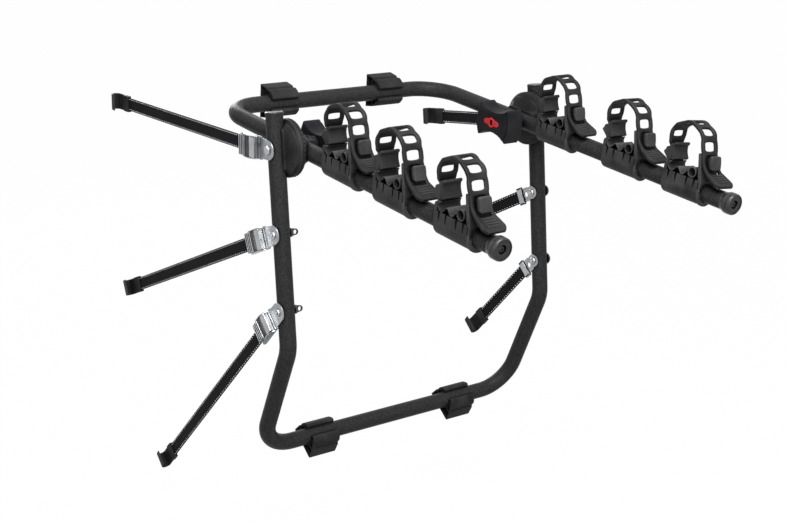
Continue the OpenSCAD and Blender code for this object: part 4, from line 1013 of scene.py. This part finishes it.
first_ridge, ridge_pitch, ridges = 182.9, 5.2, 4
barrel = side_on @ shift(root_v, root_z)
barrel_profile = [(0, -11), (4, -11), (4.6, -10.4), (4.6, 10.4), (4, 11), (0, 11)]
ladder_shapes = [ladder_band(),
                 moved(turned(barrel_profile, 24), barrel),
                 moved(turned([(0, -15.5), (2, -15.5), (2, 15.5), (0, 15.5)], 16), barrel)]
for k in range(ridges):
    x, y, heading = ladder_point(first_ridge + k * ridge_pitch)
    top = side_on @ shift(x, y) @ turn("Z", degrees(heading)) @ shift(0, ladder_t / 2 - 0.1)
    ladder_shapes.append(moved(block((2.4, 2.2, 24), (0, 0, 0), 0.9), top))
for key, spot in cradle_places.items():
    make("ladder_strap_" + key, ladder_shapes, strap_rubber, "ladder_%s_body" % key, ["ladder_" + key],
         at=spot, sharp=50)


# The cam buckles and strap plates: stamped and zinc plated steel. A buckle has an
# eye, a folded floor with two cheeks and a ridged cam lever; a plate has an eye, a
# round hole and a folded band that grips the webbing.
# edge=0.6 paints bright highlight lines on the ridges and edges, beside the rubbed wear.
zinc = finish("zinc_plate", (0.19, 0.20, 0.21), (0.48, 0.49, 0.50), (0.22, 0.4), 700, 45, 0.12, metal=1.0,
              edge=0.6, reach=0.006)
eye_holes = {"top": 5.1, "mid": 4.1, "low": 4.1}
eye_r, buckle_w, buckle_l, cam_at, cam_lift, pin_r, drum_r = 17.0, 40.0, 78.0, 50.0, 9.5, 2.0, 5.0
half, wide = buckle_w / 2, buckle_w - 2 * sheet_t - 0.8
floor_outline = (arc((0, 0), eye_r, 84, 192, 24)
                 + rounded([(18, -half), (buckle_l, -half), (buckle_l, half), (18, half)], 2.5))
floor_window = rounded([(38, -9), (56, -9), (56, 9), (38, 9)], 2)
cheek_outline = rounded([(27, 0.6), (30, 9), (41, 14), (cam_at + 8, 14), (70, 8), (buckle_l, 6),
                         (buckle_l, 0.6)], 2.5)
cheek = moved(plate([cheek_outline], sheet_t, 0.5), lay("+x", "+z", "-y"))
buckle_shapes = [
    moved(cheek, shift(0, half)),
    moved(cheek, shift(0, sheet_t - half)),
    block((3, buckle_w - 2, 2.8), (25.5, 0, 2.4), 0.9),
    block((3, buckle_w - 2, 1.8), (buckle_l - 1.5, 0, 5.2), 0.7),
    block((15.5, wide, 1.6), (35.5, 0, 11.6), 0.6),
    block((1.6, wide, 10.6), (28.4, 0, 6.6), 0.5)]
pin = [(0, 0.2 - half), (pin_r, 0.2 - half), (pin_r, half - 0.2), (0, half - 0.2)]
lever_shapes = [moved(turned(pin, 20), forward)]
lever_shapes += [block((2.6, wide, 3.4), (4.4 + 5.4 * k, 0, 4.2), 0.9) for k in range(4)]
drum = [(0, -wide / 2), (drum_r - 0.4, -wide / 2), (drum_r, 0.5 - wide / 2), (drum_r, wide / 2 - 0.5),
        (drum_r - 0.4, wide / 2), (0, wide / 2)]
drum_shapes = [moved(turned(drum, 32), forward), block((25, wide, 2.0), (10.5, 0, 2.4), 0.7)]
for level, hole_r in eye_holes.items():
    spot = strap_place("left_" + level)
    cam = spot @ shift(cam_at, 0, cam_lift)
    base = plate([floor_outline, circle(hole_r), floor_window], sheet_t, 0.5)
    make("buckle_frame_" + level, [base] + buckle_shapes, zinc, "buckle_%s_body" % level, ["buckle_" + level],
         at=spot)
    make("cam_lever_" + level, lever_shapes, zinc, "lever_%s_body" % level, ["lever_" + level],
         at=cam)
    # The drum and the plate under the ridges are the same zinc on the real buckle; their dark finish is
    # painted shade for the gap between the ridges.
    make("cam_drum_" + level, drum_shapes, dark_screw_and_painted_shade, "lever_%s_body" % level, [], at=cam)

plate_eye_r, band_from, band_l, band_w, band_side = 12.5, 23.0, 13.0, 34.0, 4.2
band_high = 2 * sheet_t + strap_thick + 2 * thin_gap
band_mid = band_from + band_l / 2
eye_outline = (arc((0, 0), plate_eye_r, 86, 188, 24)
               + rounded([(8, -13.2), (24, -14), (24, 14), (8, 13.2)], 2))
band_shapes = [block((band_l, band_w, sheet_t), (band_mid, 0, z), 0.8)
               for z in (sheet_t / 2, band_high - sheet_t / 2)]
side_y = (band_w - band_side) / 2
band_shapes += [block((band_l, band_side, band_high), (band_mid, side * side_y, band_high / 2), 0.8)
                for side in (-1, 1)]
for level, hole_r in eye_holes.items():
    base = plate([eye_outline, circle(hole_r), circle(4.6, (15.5, 0))], sheet_t, 0.5)
    make("eye_plate_" + level, [base] + band_shapes, zinc, "plate_%s_body" % level, ["plate_" + level],
         at=strap_place("right_" + level))
